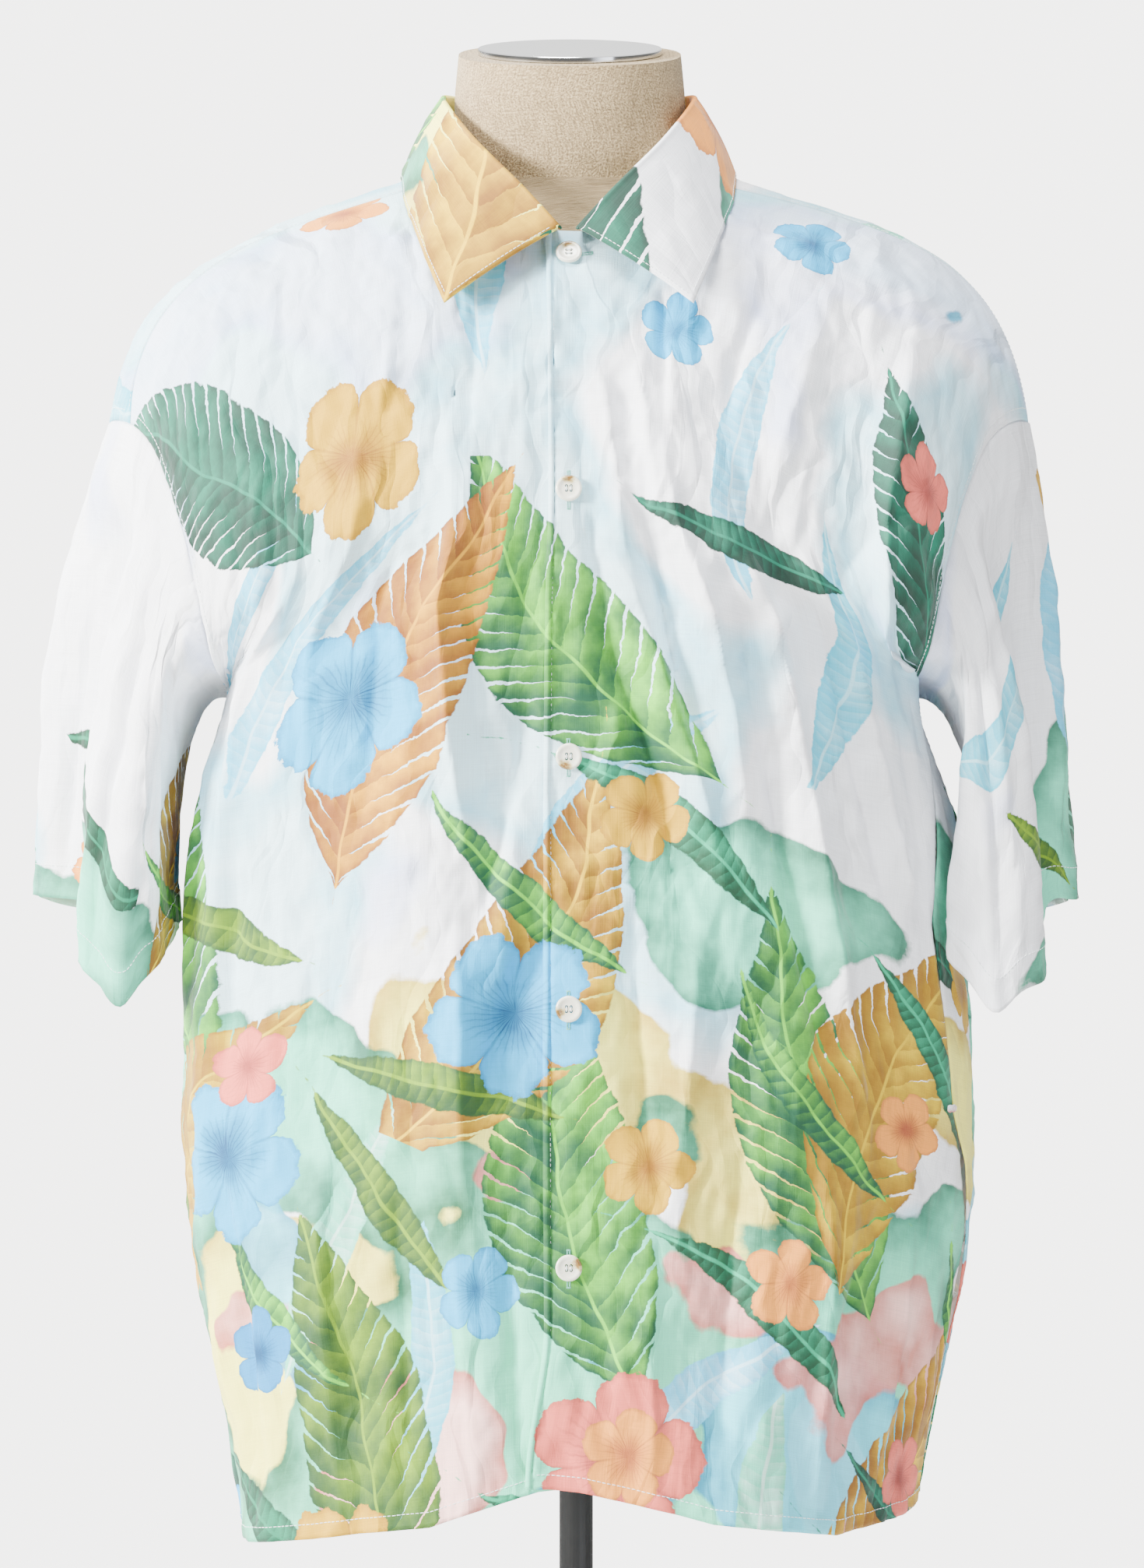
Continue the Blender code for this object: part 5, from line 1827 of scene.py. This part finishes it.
@dataclass
class Sleeve:
    """A short wide sleeve, set in the armhole, with a deep turned hem.

    HEM has places round the hem: turn, x on the right and on the left sleeve, y, z on the right and left.
    STARTS says how the sleeve leaves the armhole: turn, direction in x, y and z, and how far it carries.
    TUCK has its rows inside the armhole seam: how far back and how deep. The fade fields are where the
    swing, the creases and the facets come in: SWING_FADES, NEAR_FADE and RISE_FADE in turns from the
    underarm, the others in metres below the seam.
    """

    name: str
    side: Side
    finishes: Finishes
    drape: Drape
    wall: float = 0.00085
    step: float = 0.0031
    hem_turn: float = 0.022
    turn_step: float = 0.0005
    turn_soft: float = 0.0015
    clear: float = 0.0011
    rise: float = 0.0038
    end_carry: float = 0.20
    end_flare: float = 1.6
    hem_stitch: float = 0.021
    armhole_stitch: float = 0.004
    swing_fades: Rows = ((0.15, 0.45), (0.60, 0.90))
    near_fade: tuple[float, float] = (0.10, 0.22)
    rise_fade: tuple[float, float] = (0.0, 0.20)
    crease_fade: tuple[float, float] = (0.012, 0.075)
    facet_fade: tuple[float, float] = (0.0, 0.03)
    stitch_line: int = 900
    tuck: Rows = ((0.0050, 0.0014), (0.0014, 0.0012), (0.0006, 0.0008))
    flat: tuple[float, float] = (0.46, 0.27)
    area: float = 0.096
    hem: Rows = table(
        """
        0 213 226 -5 332 334
        100 215 216 -52 320 326
        170 225 205 -80 304 309
        197 232 216.5 -85.5 296 297
        220 239 226 -90 287 284
        247 247 237 -85.5 295.5 292
        280 256 250 -80 304 299
        340 259 259 -52 327 313
        390 261 262 -30 340 338
        460 284 273 -14 344 343
        550 297 281 20 345 344
        650 288 276 56 340 340
        760 262 258 80 334 334
        890 226 234 50 332 332
        """
    )
    starts: Rows = table(
        """
        0 980 0 120 75
        100 900 100 -100 85
        200 550 220 -700 140
        350 180 100 -970 260
        500 200 0 -980 300
        650 180 -100 -970 260
        800 550 -220 -700 140
        900 900 -100 -100 85
        """
    )

    def grid(self) -> Panel:
        """Rings of points from the armhole to the hem, with the creases.

        Returns:
            The grid, closed round the arm.
        """
        sign = self.side.sign
        columns = round(SLEEVE_TURN / self.step)
        turn = (np.arange(columns) + 0.5) / columns
        to_under = np.minimum(turn, 1 - turn)
        starts = np.array(self.starts)
        start = ring_spline(starts[:, 0], starts[:, 1:], turn)
        coming, going = self.swing_fades
        start[:, 0] += self.side.swing * smooth_step(*coming, turn) * (1 - smooth_step(*going, turn))
        lead = unit(start[:, :3]) * [sign, 1, 1]
        leave = lead * start[:, 3:]
        armhole = HalfSheet(self.side).on_row(UNDERARM * (1 - 2 * turn), 1.0) + lead * self.clear
        armhole[:, 2] += self.rise * (1 - smooth_step(*self.rise_fade, to_under))
        hem = np.array(self.hem)
        right_x, left_x, y, right_z, left_z = ring_spline(hem[:, 0], hem[:, 1:], turn).T
        x, z = (right_x, right_z) if sign < 0 else (left_x, left_z)
        hem = np.stack([x * sign, y, z], -1)
        spread = (hem - hem.mean(axis=0)) * [1, 1, 0]
        arrive = unit(np.array([0.0, 0.0, -1.0]) + spread * self.end_flare) * self.end_carry
        s = np.linspace(0.0, 1.0, round(SLEEVE_FALL / self.step))[:, None, None]
        rise = s * s * (3 - 2 * s)
        base = (1 - rise) * armhole + rise * hem + (s**3 - 2 * s**2 + s) * leave + (s**3 - s**2) * arrive
        normal = grid_normals(base, base - base.mean(axis=1, keepdims=True), closed=True)
        down = s[..., 0] * SLEEVE_FALL
        to_hem = SLEEVE_FALL - down
        around = turn[None] * SLEEVE_TURN
        x = np.mod(around + (0.0 if sign < 0 else LEFT_SLEEVE_SHIFT), SLEEVE_TURN)
        near_body = 1 - smooth_step(*self.near_fade, to_under)[None]
        free = smooth_step(*self.crease_fade, down) * (1 - 0.8 * near_body)
        lift = crease_lift(SLEEVE_CREASES, x, down) * free * self.drape.sharpness
        grown = smooth_step(*self.facet_fade, down) * (1 - 0.5 * near_body)
        lift = lift + self.drape.crumple(base) * (0.3 + 0.7 * grown)
        single = smooth_step(self.hem_turn, self.hem_turn + self.turn_soft, to_hem)
        lift = lift + self.turn_step * (1 - single)
        lift = lift + self.drape.pucker(around, to_hem - self.hem_turn)
        lift = lift + self.drape.pucker(around * 1.3, down - self.armhole_stitch) * SEAM_PUCKER
        points = base + normal * lift[..., None]
        tucked = [points[:1] - lead * back - normal[:1] * deep for back, deep in self.tuck]
        points = np.concatenate(tucked + [points])
        guide = np.concatenate([normal[:1]] * len(tucked) + [normal])
        down = np.concatenate([np.full((len(tucked), 1), down[0, 0]), down])
        wide = np.arange(columns + 1)[None] / columns * SLEEVE_TURN
        across = SLEEVE_PRINT[0] + sign * (wide + SLEEVE_PRINT[1])
        flat = np.stack(np.broadcast_arrays(across, SLEEVE_PRINT[2] - down), axis=-1)
        return Panel(points, grid_normals(points, guide, closed=True), flat, closed=True)

    def build(self) -> None:
        """Makes the sleeve and the row of stitches round its hem."""
        grid = self.grid()
        finishes = (self.finishes.face, self.finishes.reverse)
        piece = Shell(self.name + "_cloth", self.wall, finishes).build(grid)
        work = ThreadWork()
        rows, columns = grid.points.shape[:2]
        hem_row = rows - 1 - self.hem_stitch / SLEEVE_FALL * (rows - 1)
        work.seam(grid, hem_row, np.linspace(0.0, columns, self.stitch_line), self.wall / 2)
        sewn = work.build("stitches_" + self.name, self.finishes.thread)
        settle([piece, sewn], self.name)
        LOG.info("%s: %d points", self.name, rows * columns)


@dataclass
class Collar:
    """A one-piece camp collar: up from the neckline, over the roll and down to its pointed leaves.

    POSTS has places round the neckline: turn, then x, y and z of the roll and of the edge.
    """

    finishes: Finishes
    drape: Drape
    wall: float = 0.0013
    inset: float = 0.0018
    rise: float = 0.0034
    fold: float = 0.0020
    sag: float = 0.0025
    stitch: float = 0.0020
    stations: int = 76
    stand_rows: int = 9
    crown_rows: int = 7
    fall_rows: int = 24
    half_length: float = 0.21
    end_fade: tuple[float, float] = (0.0, 0.016)
    fall_fade: tuple[float, float] = (0.004, 0.020)
    facet_share: float = 0.55
    facet_floor: float = -0.0003
    print_place: tuple[float, float] = (5.3, -0.52)
    long_line: int = 900
    short_line: int = 120
    flat: tuple[float, float] = (0.617, 0.135)
    area: float = 0.056
    posts: Rows = table(
        """
        35 5 -96 701 66 -118 660
        120 25.5 -86 724 73.5 -101 678.5
        225 47 -66 747 81 -80 698.5
        335 62 -38 767 87.5 -48 718.5
        500 69 2 782 91.5 2 739.5
        680 58 45 786 82 58 730
        850 29 69 787 44 93 718
        1000 0 76 787.5 0 104 715
        """
    )

    def foot(self, turn: float) -> Array:
        """The lower edge inside the neckline.

        Args:
            turn: 0 in front to 1 at the back.

        Returns:
            The point.
        """
        sine, cosine = math.sin(math.pi * turn), math.cos(math.pi * turn)
        depth = NECK_FRONT_DROP if cosine > 0 else NECK_BACK_DROP
        sheet = HalfSheet(replace(LEFT_HALF, lift=0.0))
        point = sheet.on_row(depth * cosine, NECK_HALF * sine / PANEL_WIDTH)
        return point + np.array([-sine, cosine, 0.0]) * self.inset + [0.0, 0.0, self.rise * max(cosine, 0.0)]

    def grid(self) -> tuple[Panel, int]:
        """The collar from one front end round to the other.

        Returns:
            The grid, and the first column that lies on the fall.
        """
        table_of = np.array(self.posts)
        half = np.linspace(self.posts[0][0], 1.0, self.stations)
        rows = []
        outs = []
        for sign, turn in [(-1, turn) for turn in half] + [(1, turn) for turn in half[-2::-1]]:
            values = spline(table_of[:, 0], table_of[:, 1:], turn)
            foot, roll, edge = self.foot(turn), values[0:3], values[3:6]
            out = unit((edge - roll) * [1, 1, 0])
            inner_top, outer_top = roll - out * self.fold / 2, roll + out * self.fold / 2
            line = [foot + (inner_top - foot) * share for share in np.linspace(0.0, 1.0, self.stand_rows)]
            for angle in np.linspace(0.0, math.pi, self.crown_rows)[1:-1]:
                crown = -out * math.cos(angle) * self.fold / 2
                line.append(roll + crown + [0.0, 0.0, self.fold * 0.55 * math.sin(angle)])
            for share in np.linspace(0.0, 1.0, self.fall_rows):
                line.append(outer_top + (edge - outer_top) * share + out * self.sag * 4 * share * (1 - share))
            rows.append(np.array(line) * [sign, 1, 1])
            outs.append(out * [sign, 1, 1])
        base = np.array(rows)
        fall = self.stand_rows + self.crown_rows - 2
        facing = np.where(np.arange(base.shape[1]) < fall - 3, -1.0, 1.0)
        guide = np.array(outs)[:, None] * facing[None, :, None]
        normal = grid_normals(base, guide)
        if float((normal[:, fall + 6 :] * guide[:, fall + 6 :]).sum(axis=-1).mean()) < 0:
            normal = -normal
        down = np.concatenate([[0.0], np.cumsum(np.linalg.norm(np.diff(base[30], axis=0), axis=1))])[None]
        along = np.linspace(-self.half_length, self.half_length, len(base))[:, None]
        ends = smooth_step(*self.end_fade, self.half_length - np.abs(along))
        free = smooth_step(*self.fall_fade, down - down[0, fall]) * ends
        small = self.drape.crumple(base * 1.15 + 5.0) * self.facet_share * free
        small = small + self.drape.pucker(along + 0.0 * down, down[0, -1] - down - self.stitch)
        points = base + normal * np.maximum(small, self.facet_floor)[..., None]
        across, fallen = np.broadcast_arrays(along, down)
        flat = np.stack([self.print_place[0] + across, self.print_place[1] - fallen], axis=-1)
        return Panel(points, normal, flat), fall

    def build(self) -> None:
        """Makes the collar and the stitches round its leaves."""
        grid, fall = self.grid()
        piece = Shell("collar_cloth", self.wall, (self.finishes.face,)).build(grid)
        work = ThreadWork()
        rows, columns = grid.points.shape[:2]
        last = columns - 1 - self.stitch / float(np.linalg.norm(grid.points[30, -1] - grid.points[30, -2]))
        work.seam(grid, np.linspace(1.0, rows - 2.0, self.long_line), last, self.wall / 2)
        for end in (0.55, rows - 1.55):
            work.seam(grid, end, np.linspace(fall + 0.5, last, self.short_line), self.wall / 2)
        sewn = work.build("stitches_collar", self.finishes.thread)
        settle([piece, sewn], "collar")
        LOG.info("collar: %d points", rows * columns)


# Buttons and tacks.


@dataclass
class ButtonRow:
    """Five four-hole buttons down the left front, sewn on through stitched buttonholes.

    PROFILE has a button's outline from its middle, in shares of the radius and of half the thickness.
    SMOKY_TURNS is where each button's dark side faces, LANES how far each satin row reaches beside the
    slit, WINDS the thread's turns through a pair of holes.
    """

    finishes: Finishes
    radius: float = 0.0070
    thick: float = 0.0026
    hole_radius: float = 0.00085
    hole_reach: float = 0.0017
    hole_sides: int = 18
    crease_angle: float = math.radians(38)
    slit: float = 0.0195
    slit_shift: tuple[float, float] = (0.0035, 0.0006)
    satin_pitch: float = 0.00048
    satin_proud: float = 0.00045
    bar: tuple[float, float] = (0.0004, 0.0013)
    lanes: Rows = ((-0.0012, -0.0002), (0.0002, 0.0012))
    winds: tuple[float, ...] = (-0.00026, 0.0, 0.00022)
    wind_radius: float = 0.00016
    wind_over: float = 0.00012
    wind_clear: float = 0.0002
    satin_radius: float = 0.00020
    steps: int = 56
    smoky_turns: tuple[float, ...] = (0.15, 0.0, 2.75, 1.9, -1.1)
    profile: Rows = (
        (0.46, 0.46), (0.62, 0.56), (0.72, 0.84), (0.79, 0.96), (0.87, 0.96),
        (0.95, 0.76), (1.00, 0.26), (1.00, -0.10), (0.95, -0.52), (0.82, -0.92),
        (0.60, -1.00),
    )

    def disc(self, name: str, turn: float) -> Object:
        """Turns one button with its four holes, lying in XY.

        Args:
            name: The piece's name.
            turn: Where its smoky side faces.

        Returns:
            The button.
        """
        angle = 2 * math.pi * np.arange(self.steps) / self.steps
        rings = [
            np.stack([np.cos(angle) * reach, np.sin(angle) * reach, np.full_like(angle, height)], axis=-1)
            for reach, height in np.array(self.profile) * [self.radius, self.thick / 2]
        ]
        faces = ring_faces(len(rings), self.steps)
        made = solid_object(name, np.concatenate(rings), faces, self.finishes.shell)
        for k in range(4):
            self.drill(made, math.pi / 4 + k * math.pi / 2)
        made.data.shade_smooth()
        made.data.set_sharp_from_angle(angle=self.crease_angle)
        flat = made.data.uv_layers.new(name="flat")
        for loop in made.data.loops:
            place = Matrix.Rotation(-turn, 2) @ made.data.vertices[loop.vertex_index].co.xy
            flat.data[loop.index].uv = place
        return made

    def drill(self, made: Object, angle: float) -> None:
        """Cuts one hole through a button.

        Args:
            made: The button.
            angle: The hole's direction from the middle.
        """
        reach = self.hole_reach
        place = Matrix.Translation((reach * math.cos(angle), reach * math.sin(angle), 0.0))
        size = {"radius1": self.hole_radius, "radius2": self.hole_radius, "depth": self.thick * 3}
        built = bmesh.new()
        bmesh.ops.create_cone(built, cap_ends=True, segments=self.hole_sides, matrix=place, **size)
        tool_mesh = bpy.data.meshes.new("hole")
        built.to_mesh(tool_mesh)
        built.free()
        tool = new_object("hole", tool_mesh)
        cut = made.modifiers.new("hole", "BOOLEAN")
        cut.operation, cut.solver, cut.object = "DIFFERENCE", "EXACT", tool
        bpy.context.view_layer.update()
        old = made.data
        settled = made.evaluated_get(bpy.context.evaluated_depsgraph_get())
        cut_mesh = bpy.data.meshes.new_from_object(settled)
        made.modifiers.clear()
        made.data = cut_mesh
        bpy.data.objects.remove(tool)
        for spent in (old, tool_mesh):
            bpy.data.meshes.remove(spent)

    def thread(self, name: str, level: bool) -> Object:
        """The thread through the holes: two pairs of floats, each wound several times.

        Args:
            name: The piece's name.
            level: Whether the floats lie level.

        Returns:
            The thread, over a button that lies in XY.
        """
        work = ThreadWork(radius=self.wind_radius, sides=6)
        face = self.thick / 2 * self.profile[0][1]
        side = self.hole_reach * math.cos(math.pi / 4)
        for lane in (-1, 1):
            for wind, offset in enumerate(self.winds):
                lift = face + self.wind_clear + self.wind_over * (wind % 2)
                start = np.array([[lane * side + offset, -side - self.wind_clear, lift]])
                end = np.array([[lane * side + offset * 0.6, side + self.wind_clear, lift]])
                if level:
                    start, end = start[:, [1, 0, 2]], end[:, [1, 0, 2]]
                work.float_between(start, end, np.array([[0.0, 0.0, 1.0]]))
        faces = np.concatenate(work.faces).tolist()
        return solid_object(name, np.concatenate(work.points), faces, self.finishes.thread)

    def buttonhole(self, name: str, grid: Panel, cut: BodyPanel, drop: float, level: bool) -> Object:
        """Satin stitches down both sides of the slit, with a bar at each end.

        Args:
            name: The piece's name.
            grid: The left front.
            cut: Its description.
            drop: Where its button is.
            level: Whether the slit lies level.

        Returns:
            The stitches.
        """
        work = ThreadWork(radius=self.satin_radius)
        metres = cut.column_metres()
        columns = np.arange(len(metres))
        drops = -grid.flat[:, int(np.interp(0.0, metres, columns)), 1]
        shift, half = self.slit_shift[0 if level else 1], self.slit / 2
        along = np.arange(-half, half, self.satin_pitch) + shift
        outside, reach = self.bar
        bars = np.array([-half, -half - outside, half, half + outside]) + shift
        for place, lane in (*((along, lane) for lane in self.lanes), (bars, (-reach, reach))):
            ends = []
            for aside in lane:
                aside = np.full_like(place, aside)
                sideways, downwards = (place, aside) if level else (aside, place)
                row = np.interp(drop + downwards, drops, np.arange(len(drops)))
                point, normal = grid.on(row, np.interp(sideways, metres, columns))
                ends.append(point + normal * self.satin_proud)
            work.float_between(ends[0], ends[1], normal)
        return work.build(name, self.finishes.hole_thread)

    def build(self, grid: Panel, cut: BodyPanel) -> None:
        """Makes all five buttons where their CAD nodes are.

        Args:
            grid: The left front.
            cut: Its description.
        """
        sheet = HalfSheet(LEFT_HALF)
        for number, drop in enumerate(cut.drape.button_drops, start=1):
            node = f"button_{number}"
            low, high = (Vector(corner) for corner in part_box(node))
            _, y, z = sheet.outward(drop, np.array(0.0))
            place = Matrix.Translation((low + high) / 2) @ Matrix.Rotation(math.atan2(-y, z), 4, "X")
            disc = self.disc(node + "_shell", self.smoky_turns[number - 1])
            thread = self.thread(node + "_thread", number == 1)
            for piece in (disc, thread):
                piece.data.transform(place)
            hole = self.buttonhole(f"buttonhole_{number}", grid, cut, drop, number == 1)
            settle([disc], node)
            settle([thread, hole])
            LOG.info("%s", node)


@dataclass
class VentTack:
    """A folded scrap of the lawn sewn across the top of a side vent, with thread round it."""

    name: str
    finishes: Finishes
    length: float = 0.0085
    tall: float = 0.0040
    thick: float = 0.0013
    turns: int = 20
    stations: tuple[float, ...] = (-1.0, -0.97, -0.85, -0.5, 0.0, 0.5, 0.85, 0.97, 1.0)
    stitches: int = 7
    stitch_reach: float = 0.75
    stitch_radius: float = 0.0002
    stitch_tall: float = 0.36
    stitch_slant: float = 0.0004
    print_place: tuple[float, float] = (7.0, -1.75)

    def build(self) -> None:
        """Makes the tack in the middle of its CAD node."""
        low, high = (np.array(corner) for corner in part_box(self.name))
        centre = (low + high) / 2
        side = 1.0 if centre[0] > 0 else -1.0
        lean = math.atan2(high[1] - low[1], high[0] - low[0])
        along = np.array([math.cos(lean), side * math.sin(lean), 0.0])
        up = np.array([0.0, 0.0, 1.0])
        out = np.cross(along, up)
        angle = 2 * math.pi * np.arange(self.turns) / self.turns
        rings = []
        for share in self.stations:
            swell = (1 - abs(share) ** 12 * 0.45) * (1 - 0.10 * math.cos(share * 7))
            flat = np.sign(np.cos(angle)) * np.abs(np.cos(angle)) ** 0.5 * self.tall / 2 * swell
            deep = np.sign(np.sin(angle)) * np.abs(np.sin(angle)) ** 0.8 * self.thick / 2 * swell
            rings.append(centre + along * share * self.length / 2 + up * flat[:, None] + out * deep[:, None])
        faces = ring_faces(len(rings), self.turns)
        piece = solid_object(self.name + "_scrap", np.concatenate(rings), faces, self.finishes.face)
        layer = piece.data.uv_layers.new(name="flat")
        for loop in piece.data.loops:
            place = piece.data.vertices[loop.vertex_index].co
            layer.data[loop.index].uv = (place.x * side + self.print_place[0], place.z + self.print_place[1])
        work = ThreadWork(radius=self.stitch_radius)
        for share in np.linspace(-self.stitch_reach, self.stitch_reach, self.stitches):
            base = centre + along * share * self.length / 2 + out * self.thick * 0.5
            start = (base - up * self.tall * self.stitch_tall)[None]
            end = (base + up * self.tall * self.stitch_tall + along * self.stitch_slant)[None]
            work.float_between(start, end, out[None])
        sewn = work.build(self.name + "_stitches", self.finishes.thread, home=0.0)
        settle([piece, sewn], self.name)
        LOG.info("%s", self.name)


# The form and its stand.


@dataclass
class DressForm:
    """The limbless linen torso with its leaning neck.

    RINGS has outlines from the foot up: z, half the width, depth in front and behind, and the power that
    makes the oval squarer above 2. FINER is how many rings each gap is cut into.
    """

    finishes: Finishes
    middle_x: float = -0.0035
    tilt: float = math.radians(13.0)
    tilt_from: float = 0.740
    turns: int = 128
    finer: int = 3
    crease_angle: float = math.radians(45)
    rings: Rows = table(
        """
        100 140 94 92 2350
        106 149 103 101 2350
        122 154 107 105 2350
        220 160 112 110 2350
        340 158 110 110 2350
        460 160 109 111 2350
        540 170 108 110 2350
        600 184 103 104 2350
        642 192 91 90 2300
        672 187 76 76 2100
        699 174 67 67 1800
        713 151 60 59 1600
        722.2 121 57 54.5 1500
        728.1 92 56 53.5 1550
        733 70.5 55.5 53 1900
        746 64 58 56 2200
        785 63 60 59 2250
        806 61 59 58.5 2250
        """
    )

    def build(self) -> None:
        """Makes the torso, closed at both ends."""
        outline = np.array(self.rings)
        knots = outline[:, 0]
        gaps = [np.linspace(a, b, self.finer + 1)[:-1] for a, b in zip(knots[:-1], knots[1:])]
        heights = np.concatenate(gaps + [knots[-1:]])
        half_x, front_y, back_y, square = (
            np.interp(heights, knots, outline[:, k])[:, None] for k in range(1, 5)
        )
        angle = 2 * math.pi * np.arange(self.turns)[None] / self.turns
        cos, sin = np.cos(angle), np.sin(angle)
        x = half_x * np.sign(cos) * np.abs(cos) ** (2.0 / square) + self.middle_x
        y = np.where(sin < 0, front_y, back_y) * np.sign(sin) * np.abs(sin) ** (2.0 / square)
        z = heights[:, None] + 0.0 * x
        z = z + math.tan(self.tilt) * y * smooth_step(self.tilt_from, knots[-1], z)
        points = np.stack([x, y, z + HEM_Z], axis=-1)
        rows, n = points.shape[:2]
        made = solid_object("form_linen", points.reshape(-1, 3), ring_faces(rows, n), self.finishes.linen)
        made.data.set_sharp_from_angle(angle=self.crease_angle)
        around = np.linalg.norm(np.diff(np.concatenate([points, points[:, :1]], axis=1), axis=1), axis=-1)
        reach = np.concatenate([np.zeros((rows, 1)), np.cumsum(around, axis=1)], axis=1)
        layer = made.data.uv_layers.new(name="flat")
        for polygon in made.data.polygons:
            numbers = list(polygon.vertices)
            columns = [number % n for number in numbers]
            wraps = max(columns) - min(columns) > n // 2
            for loop, number, column in zip(polygon.loop_indices, numbers, columns):
                place = made.data.vertices[number].co
                if len(numbers) > 4:
                    layer.data[loop].uv = (place.x, place.y)
                else:
                    turn = n if wraps and column == 0 else column
                    layer.data[loop].uv = (reach[number // n, turn], place.z)
        settle([made], "form_torso")
        LOG.info("form: %d points", rows * n)


@dataclass
class NeckCap:
    """The thin steel disc on the neck, flat on top with a polished upright rim."""

    finishes: Finishes
    tilt: float = math.radians(13.0)
    radius: float = 0.0505
    thick: float = 0.0034
    arris: float = 0.00035
    turns: int = 192
    crease_angle: float = math.radians(30)

    def build(self) -> None:
        """Makes the disc in the place of the CAD one."""
        half, edge = self.thick / 2, self.arris
        inner = self.radius - edge
        profile = [(inner, half), (self.radius, half - edge), (self.radius, edge - half), (inner, -half)]
        low, high = (Vector(corner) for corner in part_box("neck_cap"))
        angle = 2 * math.pi * np.arange(self.turns) / self.turns
        flat = np.array([(r * math.cos(a), r * math.sin(a), z) for r, z in profile for a in angle])
        faces = ring_faces(len(profile), self.turns)
        made = solid_object("neck_cap_disc", flat, faces, self.finishes.steel)
        made.data.transform(Matrix.Translation((low + high) / 2) @ Matrix.Rotation(self.tilt, 4, "X"))
        made.data.set_sharp_from_angle(angle=self.crease_angle)
        settle([made], "neck_cap")
        LOG.info("neck cap")


@dataclass
class StandParts:
    """The pole and the round base, which keep their CAD shapes."""

    finishes: Finishes
    nodes: tuple[str, ...] = ("pole", "base")

    def dress(self) -> None:
        """Gives the two CAD nodes their finish."""
        for item in bpy.data.objects:
            if item.type == "MESH" and item.name in self.nodes:
                for place in item.material_slots:
                    place.material = self.finishes.black
                LOG.info("%s", item.name)


# The studio.


@dataclass(frozen=True)
class Lamp:
    """One square soft light."""

    name: str
    place: tuple[float, float, float]
    size: float
    power: float
    tint: str = "#FFFFFF"

    def build(self, target: Vector) -> None:
        """Hangs the light.

        Args:
            target: What it is aimed at.
        """
        light = bpy.data.lights.new(self.name, "AREA")
        light.shape = "SQUARE"
        light.size = self.size
        light.energy = self.power
        light.color = linear(self.tint)[:3]
        made = new_object(self.name, light)
        made.location = self.place
        made.rotation_euler = (target - Vector(self.place)).to_track_quat("-Z", "Y").to_euler()


@dataclass
class Studio:
    """A pale floor, a large soft key from the left, a weaker fill from the right and an even room.

    ROOM_GLOSS is how bright the room's lower and upper half are in a reflection.
    """

    target: tuple[float, float, float] = (-0.0023, 0.0, 1.126)
    distance: float = 3.1
    frame_tall: float = 0.860
    sensor: float = 36.0
    floor_half: float = 3.5
    room_tint: str = "#F2F1EF"
    room_light: float = 0.62
    room_gloss: tuple[float, float] = (0.25, 2.2)
    room_white: float = 5.6
    lamps: tuple[Lamp, ...] = (
        Lamp("key", (-2.9, -1.5, 2.1), 0.8, 560.0, "#FFFDF9"),
        Lamp("top", (-0.4, -0.9, 3.4), 1.0, 140.0),
        Lamp("fill", (2.4, -2.6, 1.4), 1.8, 50.0, "#F4F7FF"),
        Lamp("back", (-2.5, 2.0, 2.3), 0.9, 230.0),
    )

    def room(self) -> bpy.types.World:
        """Makes the even room.

        Returns:
            The world, white behind the object and dimmer as a light.
        """
        world = bpy.data.worlds.new("room")
        world.use_nodes = True
        add = partial(add_node, world.node_tree)
        path = add("LightPath", output="Is Camera Ray")
        height = add("SeparateXYZ", (add("TexCoord", output="Generated"),), 2)
        above = add("MapRange", (height, 0.02, 0.30, *self.room_gloss))
        dim = add("MapRange", {"Value": path.node.outputs["Is Glossy Ray"], 3: self.room_light, 4: above})
        glow = add("MapRange", {"Value": path, 3: dim, 4: self.room_white})
        sky = world.node_tree.nodes["Background"]
        connect(sky, {"Color": linear(self.room_tint), "Strength": glow})
        return world

    def build(self) -> None:
        """Makes the floor, the lights, the room and the camera."""
        built = bmesh.new()
        bmesh.ops.create_grid(built, x_segments=8, y_segments=8, size=self.floor_half)
        mesh = bpy.data.meshes.new("studio_floor")
        built.to_mesh(mesh)
        built.free()
        mesh.materials.append(PaleFloor("floor_paper").build())
        new_object("studio_floor", mesh)
        for lamp in self.lamps:
            lamp.build(Vector(self.target))
        bpy.context.scene.world = self.room()
        lens = bpy.data.cameras.new("camera")
        lens.sensor_width = self.sensor
        lens.lens = self.sensor * self.distance / self.frame_tall
        camera = new_object("camera", lens)
        camera.location = (self.target[0], self.target[1] - self.distance, self.target[2])
        camera.rotation_euler = (math.pi / 2, 0.0, 0.0)
        bpy.context.scene.camera = camera


def main() -> None:
    """Builds the shirt, the form and the studio in order."""
    logging.basicConfig(level=logging.INFO, format="%(name)s: %(message)s")
    finishes = Finishes()
    drape = Drape(Noise(11))
    Studio().build()
    body = ShirtBody(finishes, drape)
    left_front = body.front("front_left", LEFT_HALF, LAYER)
    body.front("front_right", RIGHT_HALF, -LAYER)
    body.back()
    for name, side in (("sleeve_left", LEFT_HALF), ("sleeve_right", RIGHT_HALF)):
        Sleeve(name, side, finishes, drape).build()
    Collar(finishes, drape).build()
    ButtonRow(finishes).build(*left_front)
    for name in ("vent_tack_left", "vent_tack_right"):
        VentTack(name, finishes).build()
    DressForm(finishes).build()
    NeckCap(finishes).build()
    StandParts(finishes).dress()


if __name__ == "__main__":
    main()
